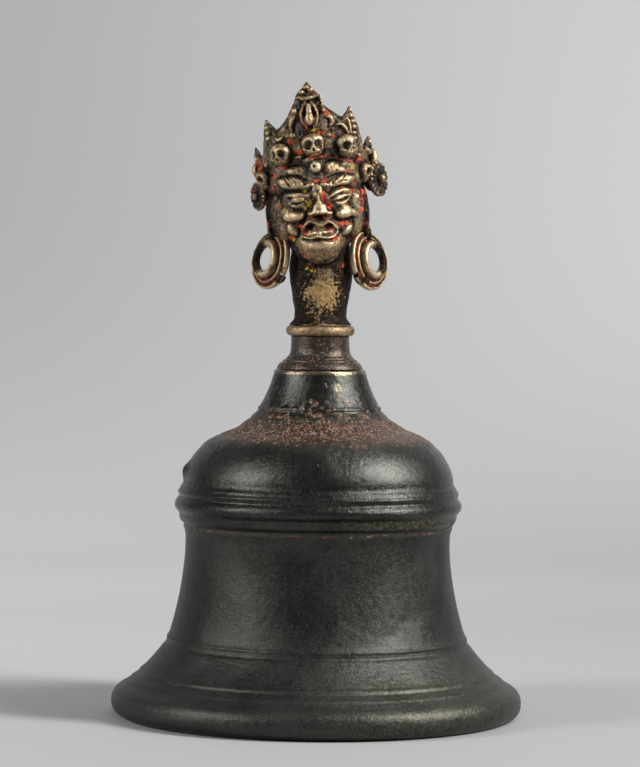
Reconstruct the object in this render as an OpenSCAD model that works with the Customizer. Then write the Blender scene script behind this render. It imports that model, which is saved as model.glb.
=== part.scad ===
// Ritual hand bell with a wrathful guardian's head as its handle.
// Millimetres, +Z up, origin at the middle of the mouth; the face looks along -Y.

/* [Bell] */
// Radius of the rim, the widest part of the bell
lip_r = 70; // [66:0.5:76]
// Height of the rounded lip
lip_h = 9.9; // [8:0.1:12]
// Width of the flat ring that the bell stands on
foot_w = 4; // [3:0.1:6]
// Height at which the flared skirt starts
flare_z = 24.4; // [22:0.1:28]
// Radius of the bell where the flared skirt starts
flare_r = 52; // [50:0.1:55]
// Radius at the narrowest part of the waist
waist_r = 44.8; // [42:0.1:47]
// Height of the round bead between waist and shoulder
band_z = 71.8; // [68:0.1:76]
// How far the round bead stands out of the waist
band_out = 3.6; // [2:0.1:5]
// Height of the shoulder above the round bead
dome_h = 23.1; // [20:0.1:26]
// Radius at which the shoulder turns up into the crown
dome_r = 35.5; // [32:0.1:38]
// Radius of the worn edge at the top of the crown
crown_r = 15.6; // [15:0.1:18]
// Height of the crown above the shoulder
crown_h = 22.7; // [20:0.1:26]
// Wall of the waist
wall = 3.4; // [2.5:0.1:4.5]
// Wall of the thick lip, where the clapper strikes
bow_wall = 6; // [5:0.1:8]
// Thickness of the crown's web, which the tang passes through
web_t = 7.5; // [5:0.1:9]

/* [Handle] */
// Height of the waisted ferrule on the crown
ferrule_h = 11.7; // [10:0.1:14]
// Radius of the ferrule at its waist
ferrule_r = 9.7; // [9:0.1:11]
// Radius of the brass collar
collar_r = 11.7; // [11:0.1:13]
// Height of the brass collar
collar_h = 3.6; // [3:0.1:5]
// Radius of the neck just above its flared foot
neck_r = 8.9; // [8.5:0.1:10]
// Height from the collar to the chin
neck_h = 21.1; // [19:0.1:24]

/* [Head] */
// Half width of the face
face_a = 14.8; // [13.5:0.1:16]
// Depth of the face in front of the axis
face_b = 16.5; // [15:0.1:18]
// Half height of the face
face_c = 19.5; // [18:0.1:21]
// Half width of the skull at the temples
skull_a = 17; // [16:0.1:18.5]
// How far the head leans to its right, in degrees
head_tilt = 6.2; // [0:0.1:8]
// Height of the middle leaf's tip above the chin
crown_tip = 62; // [58:0.5:66]
// Height of the two inner side leaves' tips above the chin
side_tip = 51.5; // [48:0.5:54]
// Height of the two outer leaves' tips above the chin
outer_tip = 41.5; // [39:0.5:44]
// Thickness of the diadem's leaves
leaf_t = 2.2; // [1.6:0.1:3]
// Half height of a skull on the diadem
skull_size = 3.8; // [3:0.1:4.5]
// Radius of the ribbon rosettes at the temples
rosette_r = 4.4; // [3.5:0.1:5]

/* [Earrings] */
// Outer radius of an earring
ring_r = 10.2; // [9:0.1:11]
// Radius of the hole through an earring
ring_hole_r = 4.1; // [3:0.1:5]
// How far an earring's middle stands out of its rim
ring_dish = 2.6; // [1.5:0.1:3.5]
// Angle at which an earring faces out from the front, in degrees
ring_turn = 55; // [48:1:62]
// How far an earring's foot swings outward, in degrees
ring_splay = 12; // [0:1:16]

/* [Clapper] */
// Radius of the tang
tang_r = 2.5; // [2.2:0.1:3]
// Radius of the washer under the crown
rove_r = 10; // [8:0.1:11.5]
// Thickness of the washer
rove_t = 2; // [1.5:0.1:3]
// Radius of the pin that the clapper swings on
pin_r = 1.5; // [1.2:0.1:1.8]
// Thickness of the stirrup's strap
strap_t = 2; // [1.5:0.1:2.5]
// Width of the stirrup's strap
strap_w = 7; // [6:0.1:8]
// Radius of the clapper's ball
ball_r = 9.5; // [8:0.1:10.5]
// Length from the pin to the ball's centre
swing_l = 75; // [68:0.5:76]

/* [Hidden] */
$fn = 96;

loose = 0.2;      // gap round the tang and the handle's spigots
running = 0.06;   // gap round the clapper's pin and the tang's journal
seat = 0.3;       // gap between cast pieces that only rest against each other
key_taper = 1.2;  // how much deeper the key is at its broad end

// heights up the bell
shoulder_z = band_z + 7.6;
dome_z = band_z + dome_h;
crown_z = dome_z + crown_h;
line_z = dome_z + crown_h * 0.445;
line_r = crown_r + (dome_r - crown_r) * 0.25;
swell_r = waist_r + band_out - 0.8;
shoulder_r = waist_r + band_out - 2.4;
ceiling_z = crown_z - 4 - web_t;
chimney_r = crown_r - 1.2;

// heights up the handle
spigot_h = 3.8;
spigot_r = crown_r - 3.2;
ferrule_top = crown_z + ferrule_h;
collar_bore_r = 6;
collar_top = ferrule_top + collar_h;
chin_z = collar_top + neck_h;
head_at = [0.4, 0, chin_z];

// places on the head, above the chin and out from its axis
skull_z0 = 29;      // middle of the skull
skull_c = 15;       // half height of the skull
bulb_z = 21;        // middle of the hollow in the head
throat_h = 14;      // how far the hollow of the neck runs up into that of the head
knot_z = 24.8;      // middle of a rosette at the temple
knot_out = 3;       // how far a rosette's middle lies outside the skull
knot_back = 2.6;    // how far a rosette reaches back to the head
ear_x = 16.75;      // middle of an earring
ear_shift = 0.9;   // how far both earrings hang to one side of the leaning head
ear_z = 1.1;
jaw_in = 6;         // how far the neck runs up into the jaw

// heights down the clapper's suspension
rove_z = ceiling_z - rove_t;
key_h = 2.6;
slot_h = key_h + 0.4;
slot_rise = 0.6;
key_l = 2 * rove_r - 3;
journal_r = tang_r - 0.5;
journal_top = rove_z - slot_h - 1.6;
strap_top = journal_top - loose;
rivet_h = 2.2;
rivet_r = journal_r + 1.3;
rivet_top = strap_top - strap_t - loose;
cheek_in = rivet_r + 0.7;
cheek_out = cheek_in + strap_t;
eye_r = pin_r + 2.5;
pivot_z = rivet_top - rivet_h - eye_r - 1.1;
ball_z = pivot_z - swing_l;
shank_r = 2.6;

// points of a cubic curve after its first point
function curve(a, b, c, d, n = 12) = [for (i = [1:n]) let (t = i / n, s = 1 - t)
    s*s*s*a + 3*s*s*t*b + 3*s*t*t*c + t*t*t*d];

// a smooth bump of a given half width and height, centred at one height
function bump(z, at, half, high) =
    abs(z - at) < half ? high * pow(cos(90 * (z - at) / half), 2) : 0;

// the raised and sunk lines of the bell at one height
function moulding(z) = bump(z, band_z, 2.2, 0.8)
    + bump(z, band_z + 4.5, 0.7, 0.5)
    - bump(z, band_z - 5.2, 1.2, 0.35)
    + bump(z, flare_z + 1.6, 1.7, 0.55)
    + bump(z, lip_h + 5.1, 0.8, 0.4)
    + bump(z, lip_h + 2.6, 0.7, 0.3)
    + bump(z, line_z, 0.7, 0.35);

lip_foot = [lip_r - 4, 0];
lip_wide = [lip_r, 4.4];
lip_top = [lip_r - 3, lip_h];
skirt_top = [flare_r, flare_z];
waist_foot = [flare_r - 1.5, flare_z + 2.9];
band_foot = [waist_r + 0.25, band_z - 10];
swell_foot = [swell_r, band_z - 2.2];
swell_top = [swell_r - 0.1, band_z + 3.8];
shoulder = [shoulder_r, shoulder_z];
dome_edge = [dome_r, dome_z];
crown_line = [line_r, line_z];
crown_edge = [crown_r, crown_z];

outer_curve = concat(
    [lip_foot],
    curve(lip_foot, lip_foot + [2.4, 0.2], lip_wide - [0.1, 2.2], lip_wide, 6),
    curve(lip_wide, lip_wide + [0, 2], lip_top + [2.6, -1.7], lip_top, 8),
    curve(lip_top, lip_top + [-5.5, 3.9], skirt_top + [3, -3.7], skirt_top, 30),
    curve(skirt_top, skirt_top + [-0.6, 0.9], waist_foot + [0.3, -0.8], waist_foot, 8),
    curve(waist_foot, waist_foot + [-4.2, 12.7], [waist_r - 0.5, band_foot[1] - 9.4],
          band_foot, 18),
    curve(band_foot, band_foot + [0.1, 2], swell_foot - [0.4, 2.6], swell_foot, 16),
    curve(swell_foot, swell_foot + [0.3, 1.4], swell_top + [0.3, -1.6], swell_top, 12),
    curve(swell_top, swell_top + [-0.2, 1], shoulder + [0.1, -1.6], shoulder, 8),
    curve(shoulder, shoulder + [-0.05, 5.5], dome_edge + [5.5, -2.9], dome_edge, 14),
    curve(dome_edge, dome_edge + [-6.5, 2.2], crown_line + [2.5, -4.3], crown_line, 14),
    curve(crown_line, crown_line + [-1.9, 3.3], crown_edge + [0.8, -3.9], crown_edge, 12));

patch_r = 6;
bow = [lip_r - 4 - foot_w, 0];
inner_waist = [flare_r - 1.5 - wall - 0.6, flare_z + 2.9];
inner_band = [waist_r - wall, band_z - 12];
inner_shoulder = [shoulder_r - wall - 1, band_z + 6.2];
inner_dome = [dome_r - 2, dome_z - wall - 1];
chimney = [chimney_r, ceiling_z - 5];

inner_curve = concat(
    [bow],
    curve(bow, bow + [-3.5, 6], [flare_r + 4.5 - bow_wall, flare_z - 9], inner_waist, 14),
    curve(inner_waist, inner_waist + [-2.9, 9.6], inner_band - [0, 12], inner_band, 12),
    curve(inner_band, inner_band + [0, 8], inner_shoulder - [0, 6], inner_shoulder, 4),
    curve(inner_shoulder, inner_shoulder + [0, 5.5], inner_dome + [5.3, -2.3], inner_dome, 10),
    curve(inner_dome, inner_dome + [-5.5, 2.3], chimney + [3, -5], chimney, 8),
    [[chimney_r - 0.6, ceiling_z - 1], [chimney_r - 1.6, ceiling_z]]);

// the cast bell: flared lip, waist, beads, domed shoulder and hollow crown
module bell_shell() color([0.13, 0.12, 0.1]) difference() {
    union() {
        rotate_extrude() polygon(concat(
            [for (p = outer_curve) [p[0] + moulding(p[1]), p[1]]],
            [[crown_r - 1.2, crown_z + 0.4], [spigot_r + loose, crown_z],
             [spigot_r + loose, crown_z - spigot_h - loose],
             [tang_r + loose, crown_z - spigot_h - loose], [tang_r + loose, 0]]));
        // a low patch of metal cast onto the left shoulder
        rotate([0, 0, 178]) translate([shoulder_r - patch_r + 0.3, 0, shoulder_z + 4.2])
            sphere(r = patch_r);
    }
    rotate_extrude() polygon(concat(
        [[0, -1], [bow[0] + 0.5, -1]], inner_curve, [[0, ceiling_z]]));
}

// the waisted bronze ferrule between the crown and the collar
module ferrule() {
    foot_r = crown_r - 0.8;
    color([0.15, 0.13, 0.11])
    rotate_extrude() polygon(concat(
        [[tang_r + loose, crown_z - spigot_h], [spigot_r, crown_z - spigot_h],
         [spigot_r, crown_z + 0.45], [foot_r, crown_z + 0.45]],
        curve([foot_r, crown_z + 0.45], [foot_r - 0.4, crown_z + 2.2],
              [ferrule_r + 1.4, crown_z + 2.6], [ferrule_r + 0.7, crown_z + 5], 10),
        curve([ferrule_r + 0.7, crown_z + 5], [ferrule_r, crown_z + 7],
              [ferrule_r, ferrule_top - 2.4], [ferrule_r + 0.2, ferrule_top], 8),
        [[collar_bore_r - running, ferrule_top], [collar_bore_r - running, ferrule_top + 1.6],
         [tang_r + loose, ferrule_top + 1.6]]));
}

// the bright brass collar, a half-round ring over both spigots
module collar_ring() {
    color([0.62, 0.5, 0.3])
    rotate_extrude() polygon(concat(
        [[collar_bore_r, ferrule_top], [ferrule_r + 0.4, ferrule_top]],
        curve([ferrule_r + 0.4, ferrule_top], [collar_r, ferrule_top + 0.5],
              [collar_r + 0.5, ferrule_top + collar_h * 0.75], [collar_r - 0.7, collar_top], 10),
        [[collar_bore_r, collar_top]]));
}

// an ellipsoid with its centre and half sizes
module blob(at, size, turn = [0, 0, 0], fn = 16)
    translate(at) rotate(turn) scale(size) sphere(r = 1, $fn = fn);

// a limb between two small balls
module limb(a, ra, b, rb, fn = 12) hull() {
    translate(a) sphere(r = ra, $fn = fn);
    translate(b) sphere(r = rb, $fn = fn);
}

module both_sides() {
    children();
    mirror([1, 0, 0]) children();
}

// depth of the face's skin at a place on it, measured from the head's axis
function skin(x, z) = -face_b * sqrt(max(0, 1 - pow(x / face_a, 2) - pow((z - face_c) / face_c, 2)));

// one curve laid on the face as a row of limbs between places [x, z, radius]
module laid(places, out = 0) for (i = [0:len(places) - 2])
    let (a = places[i], b = places[i + 1])
    limb([a[0], skin(a[0], a[1]) - out, a[1]], a[2], [b[0], skin(b[0], b[1]) - out, b[1]], b[2], 8);

brow = [[2.8, 25.8, 1.2], [5.6, 27.2, 2], [9, 29, 2.1], [12.3, 29.8, 1.2]];
lid = [[4.4, 21.6, 0.8], [7.4, 23.8, 0.9], [11.2, 22.2, 0.8]];
upper_lip = [[0, 12.9, 0.9], [3.4, 13.8, 0.9], [6.2, 10.2, 0.8]];
lower_lip = [[0, 8.3, 0.9], [3.4, 8.5, 0.9], [6.2, 10.2, 0.8]];

// the face in the head's own frame, chin at the origin
module face() {
    blob([0, 2, skull_z0], [skull_a, skull_a + 0.5, skull_c], fn = 32);
    blob([0, 0, face_c + 0.5], [face_a, face_b, face_c], fn = 32);
    blob([0, -6, 6.5], [face_a * 0.71, 10.5, 8.5], fn = 20);
    blob([0, skin(0, 5) - 2.6, 5], [5.8, 3.2, 2.8]);
    hull() {
        blob([0, skin(0, 24.5) + 0.4, 24.5], [1.5, 1.3, 1.3], fn = 10);
        blob([0, skin(0, 18) - 2.4, 18], [2, 2, 1.8], fn = 12);
    }
    blob([0, skin(0, 33) - 0.3, 33], [2, 1.5, 2.1], fn = 12);
    blob([0, skin(0, 25) - 0.9, 25], [1.4, 1.1, 2.1], fn = 12);
    both_sides() {
        blob([3, skin(3, 17) - 0.9, 17], [1.9, 1.8, 1.4], fn = 12);
        blob([7.6, skin(7.6, 21.9) + 0.1, 21.9], [3.2, 2, 1.6], fn = 12);
        blob([13, skin(13, 22) - 0.4, 22], [1.3, 1.4, 1.7], fn = 10);
        blob([8.4, skin(8.4, 17) + 0.2, 17], [4.4, 3.3, 2.5], [0, 8, 0], fn = 16);
        blob([9, skin(9, 12.3) + 0.1, 12.3], [1.5, 1.6, 2.2], [0, 25, 0], fn = 10);
        blob([skull_a - 1.9, 1.5, 17], [2.8, 6.2, 11], fn = 20);
        limb([skull_a - 1.5, 1.2, 10], 2.1, [skull_a - 1.2, 0.6, 8], 1.8);
        laid(brow, 0.3);
        laid(lid, 0.2);
        laid(upper_lip, 0.5);
        laid(lower_lip, 0.5);
    }
}

// the neck, flared at its foot onto the collar and swelling up into the jaw
neck_curve = concat(
    [[0, collar_top], [collar_r - 0.7, collar_top]],
    curve([collar_r - 0.7, collar_top], [neck_r + 1, collar_top + 1.2],
          [neck_r, collar_top + 1.6], [neck_r, collar_top + 3.4], 6),
    curve([neck_r, collar_top + 3.4], [neck_r, collar_top + 8],
          [neck_r + 1.9, chin_z - neck_h / 3], [neck_r + 2, chin_z - 1], 8),
    [[neck_r + 1, chin_z + jaw_in], [0, chin_z + 1.6 * jaw_in]]);

// the hollow inside the head, or the packing that fills it
module core_space(gap) {
    core_r = neck_r - 3.1 - gap;
    bulb_r = skull_a - 6.2 - gap;
    translate([0, 0, collar_top + gap]) cylinder(r = core_r, h = neck_h + throat_h, $fn = 28);
    translate([0, 0, chin_z + bulb_z]) sphere(r = bulb_r, $fn = 28);
}

module in_head_frame() translate(head_at) rotate([0, -head_tilt, 0]) children();

module head_solid() {
    rotate_extrude($fn = 32) polygon(neck_curve);
    in_head_frame() face();
}

// the hollow brass head on its neck, cast in one
module head() color([0.3, 0.24, 0.15]) difference() {
    union() {
        head_solid();
        // a ring under the neck that centres it in the collar
        translate([0, 0, collar_top - 1.6]) cylinder(r = collar_bore_r - running, h = 2, $fn = 32);
    }
    core_space(0);
    translate([0, 0, collar_top - 2]) cylinder(r = tang_r + loose, h = 4, $fn = 32);
    for (side = [-1, 1]) at_ear(side) translate([0, 0, -1.6 - seat])
        cylinder(r = ring_r + seat, h = ring_dish + 3.1 + 2 * seat, $fn = 40);
}

// clay core and lac left in the head, which grip the tang
module core_packing() color([0.28, 0.17, 0.1]) difference() {
    core_space(seat);
    tang_solid();
}

diadem_r = skull_a + 1;     // outer radius of the ring of leaves
diadem_y = 2;               // the ring's centre lies a little behind the head's axis
leaf_az = [-86, -50, 0, 50, 86];
leaf_half_w = [7, 7.5, 12, 7.5, 7];
leaf_tip = [outer_tip, side_tip, crown_tip, side_tip, outer_tip];
skull_az = [-74, -38, 0, 38, 74];
skull_z = [29.6, 38.4, 40, 38.4, 29.6];

// height of the diadem's foot at an azimuth: it rides up over the forehead
function foot_z(az) = 28.5 + 6.5 * cos(az);

function turned_back(points) = [for (i = [len(points) - 1:-1:0]) points[i]];

// half outline of a leaf, from its foot to its tip, as shares of its width and height
leaf_outline = [[1, 0], [0.98, 0.22], [0.86, 0.4], [0.56, 0.52], [0.42, 0.6],
                [0.36, 0.74], [0.24, 0.88], [0, 1]];

module leaf(az, half_w, tip) let (foot = foot_z(az), high = tip - foot)
    translate([0, diadem_y, 0]) rotate([0, 0, az]) intersection() {
        translate([0, 0, foot]) difference() {
            cylinder(r1 = diadem_r, r2 = diadem_r + 0.6, h = high + 1, $fn = 60);
            translate([0, 0, -1])
                cylinder(r1 = diadem_r - leaf_t, r2 = diadem_r + 0.6 - leaf_t, h = high + 3, $fn = 60);
        }
        translate([0, 0, foot]) rotate([90, 0, 0]) linear_extrude(diadem_r + 2)
            polygon(concat([for (p = leaf_outline) [half_w * p[0], high * p[1]]],
                           [for (p = turned_back(leaf_outline)) [-half_w * p[0], high * p[1]]]));
    }

// a small skull: a round cranium over a narrower jaw, with two sunk eyes
module skull(az, z, size) translate([0, diadem_y, 0]) rotate([0, 0, az])
    translate([0, -diadem_r - size * 0.35, z]) difference() {
        hull() {
            blob([0, 0, 0], [size * 0.9, size * 0.7, size * 0.85], fn = 14);
            blob([0, -size * 0.1, -size * 0.7], [size * 0.5, size * 0.5, size * 0.4], fn = 10);
        }
        both_sides() blob([size * 0.4, -size * 0.75, 0], [size * 0.28, size * 0.4, size * 0.3], fn = 10);
    }

// the five-leaved skull diadem, bedded on the head
module diadem() color([0.3, 0.25, 0.17]) in_head_frame() difference() {
    union() {
        for (i = [0:4]) {
            leaf(leaf_az[i], leaf_half_w[i], leaf_tip[i]);
            skull(skull_az[i], skull_z[i], skull_size);
        }
        // a tear-shaped jewel on the middle leaf
        hull() {
            blob([0, diadem_y - diadem_r - 0.7, crown_tip - 11.8], [1.8, 1.5, 1.8], fn = 14);
            blob([0, diadem_y - diadem_r - 0.9, crown_tip - 7.6], [0.5, 0.9, 0.5], fn = 10);
        }
        for (i = [0:3]) // scrolls that join each leaf to the next
            translate([0, diadem_y, 0]) rotate([0, 0, (leaf_az[i] + leaf_az[i + 1]) / 2]) hull() {
                translate([-3, -diadem_r + leaf_t / 2, foot_z(leaf_az[i]) + 4])
                    sphere(r = leaf_t * 0.6, $fn = 12);
                translate([3, -diadem_r + leaf_t / 2, foot_z(leaf_az[i + 1]) + 4])
                    sphere(r = leaf_t * 0.6, $fn = 12);
            }
    }
    face();
}

// a ribbon knot at the temple: a round boss with six petals, bedded on the head
module rosette(side) color([0.22, 0.18, 0.12]) in_head_frame() difference() {
    translate([side * (skull_a + knot_out), 1.5, knot_z]) rotate([90, 0, side * 62]) {
        limb([0, 0, -knot_back], rosette_r * 0.6, [0, 0, rosette_r * 0.3], rosette_r * 0.55, 20);
        limb([0, 0, 0], rosette_r * 0.34, [0, 0, rosette_r * 0.95], rosette_r * 0.3, 16);
        for (k = [0:5]) rotate([0, 0, 60 * k])
            limb([rosette_r * 0.5, 0, 0], rosette_r * 0.38,
                 [rosette_r * 0.62, 0, rosette_r * 0.45], rosette_r * 0.36, 16);
    }
    face();
    // room for the outer leaf of the diadem and for its skull
    translate([0, diadem_y, foot_z(leaf_az[4]) - seat])
        cylinder(r = diadem_r + 2 * seat, h = 2 * rosette_r, $fn = 60);
    translate([0, diadem_y, 0]) rotate([0, 0, side * skull_az[4]])
        blob([0, -diadem_r - skull_size * 0.35, skull_z[4] - skull_size * 0.2],
             [skull_size * 0.9, skull_size * 0.8, skull_size * 1.05] + [seat, seat, seat], fn = 20);
}

// the place of an earring, with its rim in the XY plane and its face along +Z
module at_ear(side) translate(head_at + [side * ear_x - ear_shift, -0.5, ear_z])
    rotate([0, -side * ring_splay, 0]) rotate([0, 0, side * ring_turn]) rotate([90, 0, 0])
    children();

// a stepped brass earring: three ridges round a round hole
module earring(side) color([0.45, 0.34, 0.2]) at_ear(side)
    rotate_extrude() polygon(concat(
        [[ring_hole_r + 0.2, ring_dish - 1.5], [ring_r - 1.3, -1.6], [ring_r, -0.7]],
        curve([ring_r, -0.7], [ring_r + 0.1, 1], [ring_r - 2, 1.3], [ring_r - 2.1, 0.4], 5),
        curve([ring_r - 2.1, 0.4], [ring_r - 2.3, 1.8], [ring_r - 3.7, 2.1],
              [ring_r - 3.7, ring_dish - 1.4], 5),
        curve([ring_r - 3.7, ring_dish - 1.4], [ring_r - 3.6, ring_dish + 1.5],
              [ring_hole_r + 0.1, ring_dish + 1.5], [ring_hole_r, ring_dish - 0.3], 7)));

// the iron tang: headed in the packing, slotted for the key, riveted under the stirrup
module tang_solid() {
    anchor_z = chin_z + 12;
    rotate_extrude() polygon([
        [0, rivet_top - rivet_h], [rivet_r * 0.6, rivet_top - rivet_h],
        [rivet_r, rivet_top - rivet_h * 0.4], [rivet_r, rivet_top],
        [journal_r, rivet_top], [journal_r, journal_top], [tang_r, journal_top],
        [tang_r, anchor_z], [tang_r + 1.4, anchor_z + 1.5], [tang_r + 1.4, anchor_z + 3],
        [0, anchor_z + 3]]);
}

// the key's side outline, with a rise above the washer for the slot that it runs in
module key_outline(rise) polygon([
    [-key_l / 2, rove_z + rise], [key_l / 2, rove_z + rise],
    [key_l / 2, rove_z - key_h], [-key_l / 2, rove_z - key_h + key_taper]]);

module tang_rod() color([0.2, 0.18, 0.16]) difference() {
    tang_solid();
    translate([0, 1.1, 0]) rotate([90, 0, 0]) linear_extrude(2.2) key_outline(slot_rise);
}

// the iron washer under the crown
module rove_washer() color([0.24, 0.21, 0.19]) rotate_extrude()
    polygon([[tang_r + loose, rove_z], [rove_r - 0.5, rove_z], [rove_r, rove_z + 0.5],
             [rove_r, ceiling_z], [tang_r + loose, ceiling_z]]);

// the tapered iron key that draws the tang down
module wedge_key() color([0.26, 0.22, 0.19])
    translate([0, 1, 0]) rotate([90, 0, 0]) linear_extrude(2) key_outline(0);

// the iron stirrup that turns on the tang and carries the clapper's pin
module stirrup() color([0.25, 0.22, 0.2]) difference() {
    union() {
        translate([-cheek_out, -strap_w / 2, strap_top - strap_t])
            cube([2 * cheek_out, strap_w, strap_t]);
        for (side = [-1, 1]) {
            translate([side * (cheek_in + strap_t / 2) - strap_t / 2, -strap_w / 2, pivot_z])
                cube([strap_t, strap_w, strap_top - pivot_z]);
            translate([side * (cheek_in + strap_t / 2) - strap_t / 2, 0, pivot_z])
                rotate([0, 90, 0]) cylinder(r = strap_w / 2, h = strap_t);
        }
    }
    translate([0, 0, strap_top - strap_t - 1]) cylinder(r = journal_r + running, h = strap_t + 2);
    translate([-cheek_out - 1, 0, pivot_z]) rotate([0, 90, 0])
        cylinder(r = pin_r + running, h = 2 * cheek_out + 2);
}

// the clapper's pin, peened over both cheeks
module clapper_pin() color([0.28, 0.25, 0.22]) translate([0, 0, pivot_z]) rotate([0, 90, 0])
    rotate_extrude() polygon([
        [0, -cheek_out - 1], [pin_r + 0.5, -cheek_out - 1], [pin_r + 1, -cheek_out - 0.5],
        [pin_r + 1, -cheek_out], [pin_r, -cheek_out], [pin_r, cheek_out],
        [pin_r + 1, cheek_out], [pin_r + 1, cheek_out + 0.5], [pin_r + 0.5, cheek_out + 1],
        [0, cheek_out + 1]]);

// the forged clapper rod with its eye, shank and peened tail
module clapper_rod() color([0.24, 0.21, 0.19]) difference() {
    union() {
        translate([-cheek_in + 0.4, 0, pivot_z]) rotate([0, 90, 0])
            cylinder(r = eye_r, h = 2 * (cheek_in - 0.4));
        translate([0, 0, ball_z + ball_r * 0.8])
            cylinder(r1 = shank_r, r2 = 2.1, h = swing_l - ball_r * 0.8 - eye_r * 0.6);
        translate([0, 0, ball_z - ball_r]) cylinder(r = shank_r - 0.4, h = 2 * ball_r);
        translate([0, 0, ball_z - ball_r - 1.4]) cylinder(r1 = 1.6, r2 = 3, h = 1.8);
    }
    translate([-cheek_out, 0, pivot_z]) rotate([0, 90, 0])
        cylinder(r = pin_r + running, h = 2 * cheek_out);
}

// the bronze ball cast round the shank
module clapper_ball() color([0.35, 0.28, 0.18]) difference() {
    translate([0, 0, ball_z]) sphere(r = ball_r);
    clapper_rod();
}

bell_shell();
ferrule();
collar_ring();
head();
core_packing();
diadem();
rosette(-1);  // rosette_left
rosette(1);  // rosette_right
earring(-1);  // earring_left
earring(1);  // earring_right
tang_rod();
rove_washer();
wedge_key();
stirrup();
clapper_pin();
clapper_rod();
clapper_ball();
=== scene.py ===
# %% [markdown]
# # A ritual hand bell in old bronze and brass
# The bell is one heavy casting, almost black with age. Its handle is a guardian's head in brass,
# with a diadem of five leaves, large earrings and a bright collar. The solids of the bell arrive
# as a fixed frame in metres, and this notebook dresses them: it rebuilds the cast pieces with the
# unevenness of lost-wax work and gives every piece a finish made of nodes.
# %% Load the frame
import math

import bmesh
import bpy
import numpy as np
from mathutils import Euler, Matrix, Vector


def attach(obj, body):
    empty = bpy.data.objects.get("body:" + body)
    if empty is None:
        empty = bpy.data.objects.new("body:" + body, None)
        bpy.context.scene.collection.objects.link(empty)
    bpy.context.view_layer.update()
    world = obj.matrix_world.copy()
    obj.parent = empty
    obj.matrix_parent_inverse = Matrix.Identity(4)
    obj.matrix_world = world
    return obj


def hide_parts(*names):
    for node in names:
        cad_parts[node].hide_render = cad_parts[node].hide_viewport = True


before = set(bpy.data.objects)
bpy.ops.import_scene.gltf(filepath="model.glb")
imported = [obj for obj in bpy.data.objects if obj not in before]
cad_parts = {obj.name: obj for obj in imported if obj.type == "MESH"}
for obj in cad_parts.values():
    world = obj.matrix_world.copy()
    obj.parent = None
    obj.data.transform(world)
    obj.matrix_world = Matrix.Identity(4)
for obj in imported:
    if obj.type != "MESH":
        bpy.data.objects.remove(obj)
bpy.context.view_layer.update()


# %% [markdown]
# ## Camera
# The photograph was taken from a little over a metre away with a long lens, looking slightly
# down. A camera is placed by four facts: its height, its distance, how far it tips down and
# its focal length. It also rolls by less than a degree. The frame is upright, so the 36 mm of
# the sensor lie along the height.
# %% Place the camera
MM = 0.001
CAMERA_DISTANCE = 1.107
CAMERA_HEIGHT = 0.1507
CAMERA_SIDE = 0.0001
CAMERA_TIP = math.radians(1.947)
CAMERA_ROLL = math.radians(0.69)
FOCAL_LENGTH = 152.5

camera_data = bpy.data.cameras.new("camera")
camera_data.lens = FOCAL_LENGTH
camera_data.sensor_width = 36
camera_data.clip_start = 0.05
camera = bpy.data.objects.new("camera", camera_data)
bpy.context.scene.collection.objects.link(camera)
camera.matrix_world = (Matrix.Translation((CAMERA_SIDE, -CAMERA_DISTANCE, CAMERA_HEIGHT))
                       @ Matrix.Rotation(math.radians(90) - CAMERA_TIP, 4, "X")
                       @ Matrix.Rotation(CAMERA_ROLL, 4, "Z"))
bpy.context.scene.camera = camera
print("camera at", tuple(round(v, 4) for v in camera.location))

# %% [markdown]
# ## Shader arithmetic
# Finishes are easier to read as formulas than as a web of nodes. One small class wraps a socket
# so that `1 - mask` adds a Math node, and one method adds any other node with its settings and
# the values or links of its sockets.
# %% Two helpers for materials


class Value:
    """A node's output that takes part in arithmetic."""

    def __init__(self, finish, socket):
        self.finish = finish
        self.socket = socket

    def math(self, operation, left, right):
        return self.finish.add("ShaderNodeMath", {"operation": operation}, {0: left, 1: right})

    def __add__(self, other):
        return self.math("ADD", self, other)

    def __radd__(self, other):
        return self.math("ADD", other, self)

    def __sub__(self, other):
        return self.math("SUBTRACT", self, other)

    def __rsub__(self, other):
        return self.math("SUBTRACT", other, self)

    def __mul__(self, other):
        return self.math("MULTIPLY", self, other)


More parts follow.
